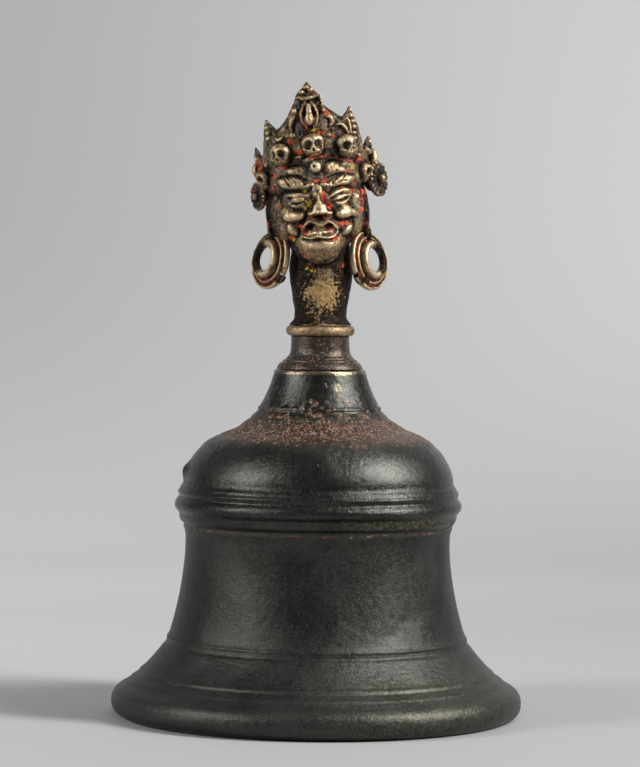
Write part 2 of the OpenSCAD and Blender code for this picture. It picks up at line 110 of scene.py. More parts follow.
class Finish:
    """A material under construction."""

    def __init__(self, name):
        self.material = bpy.data.materials.new(name)
        self.material.use_nodes = True
        self.tree = self.material.node_tree
        self.tree.nodes.clear()
        self.place = self.add("ShaderNodeTexCoord", output="Object")

    def add(self, kind, settings=None, sockets=None, output=0):
        """Adds one node: settings first, then the values or links of its sockets."""
        node = self.tree.nodes.new(kind)
        for name, value in (settings or {}).items():
            setattr(node, name, value)
        for name, value in (sockets or {}).items():
            if isinstance(value, Value):
                self.tree.links.new(value.socket, node.inputs[name])
            else:
                node.inputs[name].default_value = value
        return Value(self, node.outputs[output]) if node.outputs else node

    def noise(self, scale, detail=4, rough=0.55, place=None, warp=0.0):
        """Cloudy noise from 0 to 1, with its scale in waves per metre."""
        return self.add("ShaderNodeTexNoise", None, {
            "Vector": place or self.place, "Scale": scale, "Detail": detail,
            "Roughness": rough, "Distortion": warp})

    def cells(self, scale, feature="F1"):
        """Distance to the nearest of many scattered points."""
        return self.add("ShaderNodeTexVoronoi", {"feature": feature},
                        {"Vector": self.place, "Scale": scale}, "Distance")

    def step(self, value, low, high, start=0.0, end=1.0):
        """A smooth step from start to end as the value goes from low to high."""
        return self.add("ShaderNodeMapRange", {"interpolation_type": "SMOOTHSTEP"}, {
            "Value": value, "From Min": low, "From Max": high, "To Min": start, "To Max": end})

    def blend(self, share, first, second):
        """A colour between two colours."""
        node = self.tree.nodes.new("ShaderNodeMix")
        node.data_type = "RGBA"
        for slot, value in ((0, share), (6, first), (7, second)):
            if isinstance(value, Value):
                self.tree.links.new(value.socket, node.inputs[slot])
            else:
                node.inputs[slot].default_value = value
        return Value(self, node.outputs[2])

    def axis(self, letter):
        """One coordinate of the place, in metres."""
        return self.add("ShaderNodeSeparateXYZ", None, {0: self.place}, letter)

    def attribute(self, name):
        """A number that the mesh carries at each of its vertices."""
        return self.add("ShaderNodeAttribute", {"attribute_name": name}, None, "Fac")

    def bump(self, height, distance, strength=1.0, normal=None):
        """A normal bent by a height, with its distance in metres."""
        sockets = {"Height": height, "Distance": distance, "Strength": strength}
        if normal:
            sockets["Normal"] = normal
        return self.add("ShaderNodeBump", None, sockets)

    def close(self, **sockets):
        """Ends the finish in one Principled shader and gives the material back."""
        named = {name.replace("_", " "): value for name, value in sockets.items()}
        shader = self.add("ShaderNodeBsdfPrincipled", None, named)
        self.add("ShaderNodeOutputMaterial", None, {"Surface": shader})
        return self.material


def colour(red, green, blue):
    """An opaque colour, in linear light."""
    return (red, green, blue, 1.0)


print("helpers ready")

# %% [markdown]
# ## Stage and light
# The photograph has a plain pale grey ground that rises softly into the background. One sheet is
# enough: a floor strip, a curved sweep and a wall, made by extruding an edge along its profile.
# Its greys are written by depth and side as painted light and shade, so the ground never needs more
# light on the bell.
# %% Make the sweep


def mesh_from(bm, name, smooth=True):
    """Turns a bmesh into a linked object whose place is in its mesh."""
    mesh = bpy.data.meshes.new(name)
    bm.to_mesh(mesh)
    bm.free()
    for polygon in mesh.polygons:
        polygon.use_smooth = smooth
    piece = bpy.data.objects.new(name, mesh)
    bpy.context.scene.collection.objects.link(piece)
    return piece


SWEEP_HALF_WIDTH = 2.2
SWEEP_FRONT = -1.6
SWEEP_BEND = 0.55
SWEEP_RADIUS = 0.5
SWEEP_TOP = 1.8
SWEEP_STEPS = 16

bm = bmesh.new()
ends = [bm.verts.new((side * SWEEP_HALF_WIDTH, SWEEP_FRONT, 0)) for side in (-1, 1)]
edge = bm.edges.new(ends)
profile = [(SWEEP_BEND, 0.0)]
for step in range(1, SWEEP_STEPS + 1):
    turn = math.radians(90) * step / SWEEP_STEPS
    profile.append((SWEEP_BEND + SWEEP_RADIUS * math.sin(turn),
                    SWEEP_RADIUS * (1 - math.cos(turn))))
profile.append((SWEEP_BEND + SWEEP_RADIUS, SWEEP_TOP))
for y, z in profile:
    grown = bmesh.ops.extrude_edge_only(bm, edges=[edge])["geom"]
    edge = next(part for part in grown if isinstance(part, bmesh.types.BMEdge))
    for vertex in edge.verts:
        vertex.co.y, vertex.co.z = y, z
bmesh.ops.recalc_face_normals(bm, faces=bm.faces)
bm.faces.ensure_lookup_table()
if bm.faces[0].normal.z < 0:
    bmesh.ops.reverse_faces(bm, faces=bm.faces)
sweep = mesh_from(bm, "sweep")

# near, further back, at the bend and up the wall; the changes from place to place and from side to
# side are painted light and shade
LEFT_GREYS_WITH_PAINTED_LIGHT = (0.425, 0.535, 0.605, 0.440)
RIGHT_GREYS_WITH_PAINTED_LIGHT = (0.345, 0.365, 0.445, 0.575)
HATCH_RADIUS = 0.060

paper = Finish("grey_paper")


def paper_tones_with_painted_light(greys):
    """The paper's grey on one side, with painted light and shade: near, further back, at the bend
    and up the wall.
    """
    near, back, bend, wall = (colour(grey, grey, grey * 1.004) for grey in greys)
    depth = paper.axis("Y")
    floor = paper.blend(paper.step(depth, -0.075, 0.255), near, back)
    floor = paper.blend(paper.step(depth, 0.255, 0.51), floor, bend)
    return paper.blend(paper.step(depth, 0.58, 0.97), floor, wall)


# Painted light and shade: the left and right greys blend across the floor, so the two sides differ
# in painted light.
across = paper.step(paper.axis("X"), -0.28, 0.28)
# The sheet lets a view from below through, and has a hatch inside the rim's footprint, so that
# such a view shows the clapper by the studio's light.
seen_from_behind = paper.add("ShaderNodeNewGeometry", None, None, "Backfacing")
from_axis = paper.add("ShaderNodeVectorMath", {"operation": "LENGTH"}, {0: paper.place}, "Value")
outside_hatch = paper.step(from_axis, HATCH_RADIUS - 0.001, HATCH_RADIUS)
paper.close(Base_Color=paper.blend(across, paper_tones_with_painted_light(LEFT_GREYS_WITH_PAINTED_LIGHT), paper_tones_with_painted_light(RIGHT_GREYS_WITH_PAINTED_LIGHT)),
            Roughness=0.85, Alpha=(1 - seen_from_behind) * outside_hatch)
sweep.data.materials.append(paper.material)
print("sweep has", len(sweep.data.polygons), "faces")

# %% Hang the lamps


def softbox(name, azimuth, elevation, distance, width, height, power, aim=(0, 0, 0.1)):
    """A square lamp that looks at the bell; azimuth 0 is the camera's side, right is positive."""
    turn, lift = math.radians(azimuth), math.radians(elevation)
    direction = Vector((math.sin(turn) * math.cos(lift), -math.cos(turn) * math.cos(lift),
                        math.sin(lift)))
    lamp = bpy.data.lights.new(name, "AREA")
    lamp.shape = "RECTANGLE"
    lamp.size, lamp.size_y = width, height
    lamp.energy = power
    holder = bpy.data.objects.new(name, lamp)
    bpy.context.scene.collection.objects.link(holder)
    holder.location = Vector(aim) + direction * distance
    holder.rotation_euler = direction.to_track_quat("Z", "Y").to_euler()


softbox("key_right", 70, 36, 1.25, 0.22, 0.75, 22)
softbox("fill_left", -68, 24, 1.3, 0.30, 0.6, 9.0)
softbox("top", 150, 70, 1.4, 1.0, 1.0, 2.5)

world = bpy.data.worlds.new("studio")
bpy.context.scene.world = world
world.use_nodes = True
world.node_tree.nodes["Background"].inputs["Color"].default_value = colour(0.95, 0.97, 1.0)
world.node_tree.nodes["Background"].inputs["Strength"].default_value = 0.20
bpy.context.scene.view_settings.view_transform = "Standard"

# %% [markdown]
# ## The cast bell
# A bell is swept round one outline, so the outline is drawn once as curves and spun about the
# axis. A turned shape would look machined, so the spun mesh is then moved by hand-sized errors:
# slow wobbles from the loam mould, dents, small pits and the crust that gathered on the shoulder.
# %% Draw the bell's outline
LIP_R, LIP_H, FOOT_W = 70.0, 9.9, 4.0
FLARE_Z, FLARE_R, WAIST_R = 24.4, 52.0, 44.8
BAND_Z, DOME_H, DOME_R = 71.8, 23.1, 35.5
CROWN_R, CROWN_H = 15.6, 22.7
WALL, BOW_WALL, WEB = 3.4, 6.0, 7.5
SWELL_R = WAIST_R + 2.8
SHOULDER_Z = BAND_Z + 7.6
DOME_Z = BAND_Z + DOME_H
CROWN_Z = DOME_Z + CROWN_H
LINE_Z = DOME_Z + CROWN_H * 0.445
LINE_R = CROWN_R + (DOME_R - CROWN_R) * 0.25
SHOULDER_R = WAIST_R + 1.2
SOCKET_R, SOCKET_DEPTH = 12.6, 4
CEILING_Z = CROWN_Z - SOCKET_DEPTH - WEB
TANG_HOLE_R = 2.7


def curve(points, count):
    """Points of a cubic curve after its first; the handles are given as steps from its ends."""
    a, out_step, in_step, d = (np.array(p, float) for p in points)
    b, c = a + out_step, d + in_step
    share = np.linspace(0, 1, count + 1)[1:, None]
    rest = 1 - share
    return rest**3 * a + 3 * rest**2 * share * b + 3 * rest * share**2 * c + share**3 * d


def bump_at(height, centre, half, rise, fullness=2):
    """A smooth ridge, or a groove when the rise is negative, at one height of the outline."""
    near = np.minimum(np.abs(height - centre) / half, 1)
    return rise * np.cos(near * math.pi / 2) ** fullness


MOULDINGS = [
    # centre above the rim, half its width, rise; all in millimetres
    (FLARE_Z + 2.3, 1.1, 0.42), (FLARE_Z + 0.2, 1.1, -0.3), (LIP_H + 5.3, 0.8, 0.3),
    (LIP_H + 4.2, 0.8, -0.24), (LIP_H + 2.6, 0.8, 0.26), (LINE_Z, 0.6, 0.4),
    (LINE_Z - 1.1, 0.6, -0.3),
]
# The band's lines only say where it is rubbed, because its shape is drawn apart.
BAND_LINES = [(BAND_Z + 4.3, 0.6, 0.22), (BAND_Z - 5.2, 0.6, 0.2), (BAND_Z - 7.9, 0.5, 0.2)]
WAIST_SWELLING = (45, 26, 0.28)
BAND_LOW, BAND_HIGH, BAND_SOFTNESS = -9.9, 7.6, 0.25

lip_foot, lip_wide, lip_top = (LIP_R - 4, 0), (LIP_R, 4.4), (LIP_R - 3, LIP_H)
skirt_top, waist_foot = (FLARE_R, FLARE_Z), (FLARE_R - 1.5, FLARE_Z + 2.9)
band_foot, shoulder = (WAIST_R + 0.25, BAND_Z - 10), (SHOULDER_R, SHOULDER_Z)
swell_foot, swell_top = (SWELL_R, BAND_Z - 2.2), (SWELL_R - 0.1, BAND_Z + 3.8)
dome_edge, crown_line, crown_edge = (DOME_R, DOME_Z), (LINE_R, LINE_Z), (CROWN_R, CROWN_Z)
waist_pull = (WAIST_R - 0.5 - band_foot[0], -9.4)

outside = np.vstack([
    [lip_foot],
    curve((lip_foot, (2.4, 0.2), (-0.1, -2.2), lip_wide), 7),
    curve((lip_wide, (0, 2.0), (2.6, -1.5), lip_top), 9),
    curve((lip_top, (-6.2, 3.4), (2.6, -3.7), skirt_top), 44),
    curve((skirt_top, (-0.6, 0.9), (0.3, -0.8), waist_foot), 9),
    curve((waist_foot, (-4.2, 12.7), waist_pull, band_foot), 30),
    curve((band_foot, (0.1, 2.0), (-0.4, -2.6), swell_foot), 22),
    curve((swell_foot, (0.3, 1.4), (0.3, -1.6), swell_top), 22),
    curve((swell_top, (-0.2, 1.0), (0.1, -1.6), shoulder), 14),
    curve((shoulder, (-0.05, 5.5), (5.5, -2.9), dome_edge), 16),
    curve((dome_edge, (-6.5, 2.2), (2.3, -4.3), crown_line), 22),
    curve((crown_line, (-1.9, 3.3), (0.8, -3.9), crown_edge), 20),
])
for centre, half, rise in MOULDINGS:
    outside[:, 0] += bump_at(outside[:, 1], centre, half, rise)
outside[:, 0] += bump_at(outside[:, 1], *WAIST_SWELLING)
BAND_SHAPE = np.array([
    # height from the band's middle, how far out from the waist's radius
    (BAND_LOW, 0.35), (-8.6, 0.60), (-7.8, 0.85), (-7.0, 1.00), (-6.4, 0.85), (-5.8, 1.85),
    (-5.0, 2.40), (-3.9, 2.60), (-3.2, 2.62), (-2.6, 2.80), (-2.1, 3.40), (-1.3, 4.02),
    (-0.2, 4.25), (0.8, 4.10), (1.6, 3.65), (2.3, 3.05), (2.8, 2.72), (3.4, 2.85), (4.2, 3.20),
    (4.7, 3.00), (5.3, 2.45), (6.2, 2.15), (6.9, 1.55), (BAND_HIGH, 1.25),
])
in_band = (outside[:, 1] > BAND_Z + BAND_LOW) & (outside[:, 1] < BAND_Z + BAND_HIGH)
from_middle = outside[in_band, 1] - BAND_Z
rounded = sum(np.interp(from_middle + shift, *BAND_SHAPE.T)
              for shift in (-BAND_SOFTNESS, 0, BAND_SOFTNESS)) / 3
outside[in_band, 0] = WAIST_R + rounded

bow = (LIP_R - 4 - FOOT_W, 0)
inner_waist = (FLARE_R - 1.5 - WALL - 0.6, FLARE_Z + 2.9)
inner_band, inner_shoulder = (WAIST_R - WALL, BAND_Z - 12), (SHOULDER_R - WALL - 1, BAND_Z + 6.2)
inner_dome, chimney = (DOME_R - 2, DOME_Z - WALL - 1), (CROWN_R - 1.2, CEILING_Z - 5)
bow_pull = (FLARE_R + 4.5 - BOW_WALL - inner_waist[0], FLARE_Z - 9 - inner_waist[1])
inside = np.vstack([
    [bow],
    curve((bow, (-3.5, 6), bow_pull, inner_waist), 12),
    curve((inner_waist, (-2.9, 9.6), (0, -12), inner_band), 9),
    curve((inner_band, (0, 8), (0, -6), inner_shoulder), 4),
    curve((inner_shoulder, (0, 5.5), (5.3, -2.3), inner_dome), 8),
    curve((inner_dome, (-5.5, 2.3), (3, -5), chimney), 7),
    [(chimney[0] - 0.6, CEILING_Z - 1), (chimney[0] - 1.6, CEILING_Z), (TANG_HOLE_R, CEILING_Z)],
])
top = [(CROWN_R - 0.6, CROWN_Z + 0.35), (SOCKET_R, CROWN_Z), (SOCKET_R, CROWN_Z - SOCKET_DEPTH),
       (TANG_HOLE_R, CROWN_Z - SOCKET_DEPTH)]
bell_outline = np.vstack([outside, top, inside[::-1]])
print("bell outline:", len(bell_outline), "points, lowest", bell_outline[:, 1].min())

# %% Spin it and cast it by hand


def spin(outline, steps):
    """A bmesh swept once round the Z axis from a closed outline of radius and height."""
    bm = bmesh.new()
    row = [bm.verts.new((radius, 0, height)) for radius, height in outline]
    edges = [bm.edges.new((row[i], row[(i + 1) % len(row)])) for i in range(len(row))]
    bmesh.ops.spin(bm, geom=row + edges, cent=(0, 0, 0), axis=(0, 0, 1), steps=steps,
                   angle=2 * math.pi, use_merge=True)
    bmesh.ops.remove_doubles(bm, verts=bm.verts, dist=1e-5)
    bmesh.ops.recalc_face_normals(bm, faces=bm.faces)
    return bm


def held(values):
    """Values held between 0 and 1."""
    return np.clip(values, 0, 1)


def places(mesh):
    """The mesh's vertices as an array."""
    flat = np.empty(len(mesh.vertices) * 3)
    mesh.vertices.foreach_get("co", flat)
    return flat.reshape(-1, 3)


def directions(mesh):
    """The outward direction at each vertex as an array."""
    flat = np.empty(len(mesh.vertices) * 3, np.float32)
    mesh.vertices.foreach_get("normal", flat)
    return flat.reshape(-1, 3).astype(float)


def move_to(mesh, points):
    """Puts the mesh's vertices at new places."""
    mesh.vertices.foreach_set("co", points.ravel())
    mesh.update()


def carry(mesh, name, numbers):
    """Stores one number per vertex for the finish to read."""
    layer = mesh.attributes.new(name, "FLOAT", "POINT")
    layer.data.foreach_set("value", np.asarray(numbers, np.float32))


SLOPES = np.random.default_rng(12).normal(size=(4096, 3))
SLOPES /= np.linalg.norm(SLOPES, axis=1)[:, None]


def wander(points, size, seed=0):
    """Slow random numbers between about -1 and 1 whose bumps have the given size."""
    spot = points / size + seed * 17.31
    cell = np.floor(spot).astype(np.int64)
    inside = spot - cell
    ease = inside**3 * (inside * (inside * 6 - 15) + 10)
    total = np.zeros(len(points))
    for corner in np.ndindex(2, 2, 2):
        knot = cell + corner
        key = (knot[:, 0] * 73856093 ^ knot[:, 1] * 19349663 ^ knot[:, 2] * 83492791) & 4095
        height = np.einsum("ij,ij->i", SLOPES[key], inside - corner)
        total += height * np.prod(np.where(corner, ease, 1 - ease), axis=1)
    return total * 1.6


DENTS = [
    # turn from the front in degrees, height, radius, depth; all lengths in millimetres
    (62, 56, 9.0, 0.9), (-84, 83.5, 4.5, -1.3), (-90, 98, 7.0, 1.6), (40, 36, 8.0, 0.35),
    (30, 33, 5.0, 0.3), (-20, 50, 12.0, 0.25), (10, 90, 7.0, 0.3), (-50, 14, 8.0, 0.35),
    (120, 45, 11.0, 0.5), (200, 60, 13.0, 0.4), (160, 88, 8.0, 0.45), (250, 35, 10.0, 0.4),
    (75, 66, 3.0, -0.5),
]


def cast_by_hand(piece, wobble, pit, keep_below=0.6):
    """Moves a turned mesh out of true, as a mould made by hand leaves it."""
    points, outward = places(piece.data), directions(piece.data)
    height = points[:, 2]
    radius = np.maximum(np.hypot(points[:, 0], points[:, 1]), 1e-6)
    shift = wobble * wander(points, 38, 1) + 0.45 * wobble * wander(points, 13, 2)
    fine = np.abs(wander(points, 2.4, 3)) * 0.6 + np.abs(wander(points, 1.1, 4)) * 0.4
    shift -= pit * held(0.22 - fine) * 4
    for turn, level, size, depth in DENTS:
        angle = math.radians(turn)
        beside = radius[np.abs(height - level) < 2]
        ring = beside.max() if len(beside) else 0
        middle = np.array([ring * math.sin(angle), -ring * math.cos(angle), level])
        away = np.linalg.norm(points - middle, axis=1) / size
        shift -= depth * np.exp(-(away * 1.6) ** 2)
    standing = held(height / keep_below)
    points += outward * (shift * standing)[:, None]
    move_to(piece.data, points)
    return height, radius, outward


def settle(piece, finish, slot, *nodes):
    """Brings a finished piece from millimetres to metres and gives it its material and its body."""
    piece.data.transform(Matrix.Scale(MM, 4))
    piece.data.materials.append(finish)
    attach(piece, "bell")
    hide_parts(*nodes)
    print(piece.name, "has", sum(len(p.vertices) - 2 for p in piece.data.polygons), "triangles")


CRUST_Z, CRUST_HALF = 98, 8.5
BAND_DIRT_Z, BAND_DIRT_HALF = 64.3, 1.5
POCKS_Z, POCKS_HIGH, POCKS_TURN, POCKS_WIDE = 37, 9, 33, 14
STAINS_FROM_Z = 102
# Where a painted highlight lies on the bell's crown, laid as rubbed bronze: its height, half
# height, turn and half width in degrees.
PAINTED_HIGHLIGHT_Z, PAINTED_HIGHLIGHT_HIGH, PAINTED_HIGHLIGHT_TURN, PAINTED_HIGHLIGHT_WIDE = 112.0, 4.0, 20, 12

bell = mesh_from(spin(bell_outline, 330), "bell_cast")
level, radius, outward = cast_by_hand(bell, wobble=0.22, pit=0.12)
points = places(bell.data)
outside_wall = (np.einsum("ij,ij->i", outward[:, :2], points[:, :2]) > -2) & (radius > 13)
crust_zone = (np.exp(-((level - CRUST_Z) / CRUST_HALF) ** 2)
              + 0.8 * np.exp(-((level - BAND_DIRT_Z) / BAND_DIRT_HALF) ** 2)) * outside_wall
grit = held(wander(points, 1.6, 7) + 0.6 * wander(points, 6, 8))
turned_to = np.degrees(np.arctan2(points[:, 0], -points[:, 1]))
pocks = np.exp(-(((level - POCKS_Z) / POCKS_HIGH) ** 2
                 + ((turned_to - POCKS_TURN) / POCKS_WIDE) ** 2))
pocks = pocks * held(-wander(points, 1.7, 11) - 0.15) * outside_wall
points += outward * (0.5 * grit * crust_zone - 0.7 * pocks)[:, None]
reach = np.hypot(points[:, 0], points[:, 1])
points[:, :2] *= np.minimum(1, (LIP_R - 0.02) / np.maximum(reach, 1e-6))[:, None]
points[:, 2] = np.maximum(points[:, 2], 0)
move_to(bell.data, points)
crown_stains = (1.1 * held(wander(points, 2.4, 12)) * (level > STAINS_FROM_Z)
                * outside_wall)
carry(bell.data, "crust", crust_zone * (0.85 + 0.4 * grit) + crown_stains)
rubbed_edges_and_painted_highlight = np.zeros(len(points))
for centre, half, rise in BAND_LINES + MOULDINGS:
    rubbed_edges_and_painted_highlight += 0.45 * (rise > 0) * bump_at(level, centre, half * 0.5, 1.0)
rubbed_edges_and_painted_highlight += bump_at(level, LIP_H - 4.5, 4.0, 0.2) + bump_at(level, CROWN_Z, 2.2, 1.9)
turned_to = np.degrees(np.arctan2(points[:, 0], -points[:, 1]))
# A soft spot below the crown's edge, right of the front, is a painted highlight of the lamp, laid
# in the rubbed-edge mask beside real wear.
rubbed_edges_and_painted_highlight += np.exp(-((level - PAINTED_HIGHLIGHT_Z) / PAINTED_HIGHLIGHT_HIGH) ** 2
                      - ((turned_to - PAINTED_HIGHLIGHT_TURN) / PAINTED_HIGHLIGHT_WIDE) ** 2)
# The edge numbers hold rubbed edges and this painted highlight.
carry(bell.data, "edge", rubbed_edges_and_painted_highlight * outside_wall)
print("bell cast:", len(points), "points")

# %% [markdown]
# The metal of the bell is almost black: years of handling and smoke leave a skin that still
# shines softly. Three things break it up: cloudy patches of greenish grey, yellow metal wherever
# an edge is rubbed, and a rusty crust below the crown. Two more marks are painted light: a
# lighter band on the dome is a painted sheen, and one rubbed spot below the crown's edge is a
# painted highlight as well as wear. Each is a mask, and the masks are mixed in turn.
# %% Finish for dark bronze
BLACK_BRONZE = colour(0.024, 0.0245, 0.0215)
GREEN_BRONZE = colour(0.062, 0.063, 0.056)
RUBBED_BRONZE_AND_HIGHLIGHT = colour(0.40, 0.31, 0.18)
OLIVE_TINT = colour(0.22, 0.19, 0.075)
RUST_CRUST = colour(0.29, 0.105, 0.050)
DUST = colour(0.27, 0.25, 0.22)
BROWN_DUST = colour(0.095, 0.068, 0.048)
TAN_DUST = colour(0.30, 0.225, 0.155)


def dark_bronze(name, rubbed=0.5):
    """Patinated bronze, painted lighter on the dome as sheen; the mesh gives its edges, crust and
    the bell's painted highlight.
    """
    f = Finish(name)
    height = f.axis("Z")
    clouds = f.noise(60, 5, 0.6, warp=0.4)
    freckles = f.noise(900, 5, 0.7)
    # The dome's band is painted lighter in the base colour, a painted sheen that widens its
    # highlight.
    painted_dome_sheen = f.step(height, 0.076, 0.086) * f.step(height, 0.098, 0.090)
    skirt = f.step(height, 0.034, 0.018)
    tone = f.step(clouds * 0.5 + freckles * 0.5 + painted_dome_sheen * 0.09 + skirt * 0.08, 0.34, 0.68)
    base = f.blend(tone, BLACK_BRONZE, GREEN_BRONZE)
    specks = f.step(f.noise(1500, 3, 0.75), 0.64, 0.73)
    base = f.blend(specks * 0.4, base, DUST)
    band = (f.step(height, 0.0650, 0.0668) * f.step(height, 0.0702, 0.0688)
            + f.step(height, 0.021, 0.016) * 0.35)
    olive = band * f.step(f.axis("X"), -0.005, 0.03) * f.step(f.noise(900, 5, 0.75), 0.49, 0.58)
    base = f.blend(olive * 0.55, base, OLIVE_TINT)
    patchy = f.noise(140, 4) * 0.4 + f.noise(900, 5, 0.8) * 0.6 + 0.35
    # worn is rubbed bronze on the edges and, on the bell's crown, a painted highlight.
    worn = f.step(f.attribute("edge") * patchy, 0.55, 1.15) * rubbed
    base = f.blend(worn, base, RUBBED_BRONZE_AND_HIGHLIGHT)
    polish = f.step(height, 0.060, 0.074) * 0.16 + f.step(height, 0.100, 0.112) * 0.08
    rough = f.step(clouds, 0.3, 0.7, 0.28, 0.34) + freckles * 0.24 - worn * 0.06 - polish
    ground = f.attribute("crust")
    coarse = f.noise(300, 4, 0.7)
    fine = f.noise(1200, 4, 0.75)
    dusty = f.step(ground * (coarse * 0.5 + fine * 0.5 + 0.35), 0.42, 0.70)
    crust = f.step(ground * (coarse * 0.3 + fine * 0.7 + 0.30), 0.58, 0.68)
    base = f.blend(dusty * 0.7, base, BROWN_DUST)
    dots = f.step(f.cells(1250), 0.56, 0.36)
    flecks = crust * dots * f.step(f.noise(500, 5, 0.8), 0.40, 0.52)
    rusty = f.blend(f.step(f.noise(700, 4), 0.44, 0.60), RUST_CRUST, TAN_DUST)
    base = f.blend(flecks, base, rusty)
    rough = rough + dusty * 0.06 + flecks * 0.25
    metal = 0.92 - flecks * 0.6 - dusty * 0.2
    grain = f.noise(1500, 4, 0.7) * 0.6 + f.step(f.cells(900), 0.04, 0.28) * 0.4
    grain = grain + dots * crust * 0.8
    normal = f.bump(grain, 0.00020, 0.8, f.bump(f.noise(420, 6, 0.7), 0.0005, 0.45))
    return f.close(Base_Color=base, Metallic=metal, Roughness=rough, Normal=normal)


settle(bell, dark_bronze("dark_bronze_bell"), "dark_bronze", "bell_shell")

# %% [markdown]
# ## Ferrule and collar
# Both are turned shapes on the bell's axis, so they are spun as well. The ferrule is a waisted
# foot with two engraved lines; the collar is a half-round bead of polished brass.
# %% Spin the ferrule and the collar
FERRULE_TOP = CROWN_Z + 11.7
FERRULE_R, COLLAR_R, COLLAR_H, NECK_R = 9.7, 11.7, 3.6, 8.9
COLLAR_TOP = FERRULE_TOP + COLLAR_H
CHIN_Z = COLLAR_TOP + 21.1
FERRULE_FOOT = (CROWN_R - 0.8, CROWN_Z + 0.45)
FERRULE_MIDDLE = (FERRULE_R + 1.1, CROWN_Z + 5)
FERRULE_CRUST = 0.73

ferrule_side = np.vstack([
    [FERRULE_FOOT],
    curve((FERRULE_FOOT, (-0.6, 2.4), (1.2, -1.4), FERRULE_MIDDLE), 22),
    curve((FERRULE_MIDDLE, (-0.9, 1.2), (0, -3), (FERRULE_R + 0.2, FERRULE_TOP)), 16),
])
for centre, half, rise in ((CROWN_Z + 3.0, 0.45, -0.3), (CROWN_Z + 3.9, 0.45, -0.3),
                           (CROWN_Z + 3.45, 0.3, 0.15)):
    ferrule_side[:, 0] += bump_at(ferrule_side[:, 1], centre, half, rise)
ferrule_outline = np.vstack([ferrule_side, [(2.8, FERRULE_TOP), (2.8, FERRULE_FOOT[1])]])

bead = np.linspace(-90, 90, 15)
collar_side = [(COLLAR_R - 1.6 + 1.6 * math.cos(math.radians(a)) ** 0.8,
                FERRULE_TOP + COLLAR_H / 2 + (COLLAR_H / 2 - 0.1) * math.sin(math.radians(a)))
               for a in bead]
collar_outline = np.vstack([collar_side, [(6.0, COLLAR_TOP), (6.0, FERRULE_TOP + 0.05)]])


def turned(outline, name, steps, wobble):
    """A spun piece with a slight hand-made wobble, carrying edge and crust numbers for its finish.
    """
    piece = mesh_from(spin(outline, steps), name)
    points, out = places(piece.data), directions(piece.data)
    drift = wander(points, 9, 5) + 0.5 * wander(points, 3, 6)
    move_to(piece.data, points + out * (wobble * drift)[:, None])
    carry(piece.data, "edge", np.clip(0.35 + 0.8 * wander(points, 2.2, 9), 0, 2))
    carry(piece.data, "crust", np.full(len(points), FERRULE_CRUST))
    return piece


ferrule = turned(ferrule_outline, "ferrule_cast", 150, 0.10)
collar = turned(collar_outline, "collar_bead", 170, 0.07)
settle(ferrule, dark_bronze("dark_bronze_ferrule", 0.35), "dark_bronze", "ferrule")

# %% [markdown]
# ## Clay for the head
# The head was modelled in wax: soft lumps and rolls pressed onto a core, then cut with a pointed
# tool. The same order works here. Each lump is a small ball stretched to size, a roll is a row of
# balls along a smooth path, and a voxel remesh fuses them into one skin, which is then smoothed.
# Everything is placed by how it looks from the front, and laid on the plain shape beneath.
# %% Clay tools


def turned_by(degrees, axis):
    """A turn about one of the axes."""
    return Matrix.Rotation(math.radians(degrees), 4, axis)


HEAD = Matrix.Translation((0.4, 0, CHIN_Z)) @ turned_by(-6.2, "Y")
SHELLS = [((2, 29), (17, 17.5, 15)), ((0, 20), (14.8, 16.5, 19.5)), ((-6.0, 7.4), (9.0, 10.6, 9.0))]
NECK_FRONT = 10.6
CROWN_BACK, CROWN_RADIUS = 2.0, 18.0


def skin_y(x, z):
    """How far forward the plain face lies at a place seen from the front; forward is negative."""
    fronts = [-math.sqrt(max(0.0, NECK_FRONT**2 - x * x))]
    for (middle_y, middle_z), (wide, deep, high) in SHELLS:
        inside = 1 - (x / wide) ** 2 - ((z - middle_z) / high) ** 2
        if inside > 0:
            fronts.append(middle_y - deep * math.sqrt(inside))
    return min(fronts)


def on_face(x, z, out):
    """A place on the face with its frame: right, outward and up along the skin."""
    step = 0.3
    slope_x = (skin_y(x + step, z) - skin_y(x - step, z)) / (2 * step)
    slope_z = (skin_y(x, z + step) - skin_y(x, z - step)) / (2 * step)
    outward = Vector((slope_x, -1, slope_z)).normalized()
    right = outward.cross(Vector((0, 0, -1))).normalized()
    place = Vector((x, skin_y(x, z), z)) + outward * out
    return place, Matrix((right, -outward, outward.cross(right))).transposed()


def crown_foot(turn):
    """The band's lower edge, which rides up over the forehead."""
    return 28.5 + 6.5 * math.cos(math.radians(turn))


def on_crown(turn, z, out):
    """A place on the ring of leaves, by its turn from the front in degrees."""
    angle = math.radians(turn)
    lean = max(0.0, abs(turn) - 58) / 28
    radius = CROWN_RADIUS + 0.9 * max(0.0, z - 40) / 20
    radius += (1.3 + 0.3 * math.copysign(1, turn)) * min(lean, 1.0) * max(0, z - 28) / 8
    radius -= 1.5 * max(0.0, 1 - (z - crown_foot(turn)) / 4)
    outward = Vector((math.sin(angle), -math.cos(angle), 0))
    right = Vector((math.cos(angle), math.sin(angle), 0))
    place = Vector((0, CROWN_BACK, z)) + outward * (radius + out)
    return place, Matrix((right, -outward, Vector((0, 0, 1)))).transposed()


def smooth_path(points, spacing=0.3):
    """Evenly close points on a smooth curve through a few given ones."""
    rows = np.array(points, float)
    padded = np.vstack([2 * rows[0] - rows[1], rows, 2 * rows[-1] - rows[-2]])
    out = []
    for i in range(1, len(padded) - 2):
        before, start, end, after = padded[i - 1:i + 3]
        count = max(1, int(np.linalg.norm((end - start)[:2]) / spacing))
        for share in np.arange(count) / count:
            out.append(0.5 * (2 * start + (end - before) * share
                              + (2 * before - 5 * start + 4 * end - after) * share**2
                              + (3 * start - before - 3 * end + after) * share**3))
    out.append(rows[-1])
    return out


BATCH = 3000


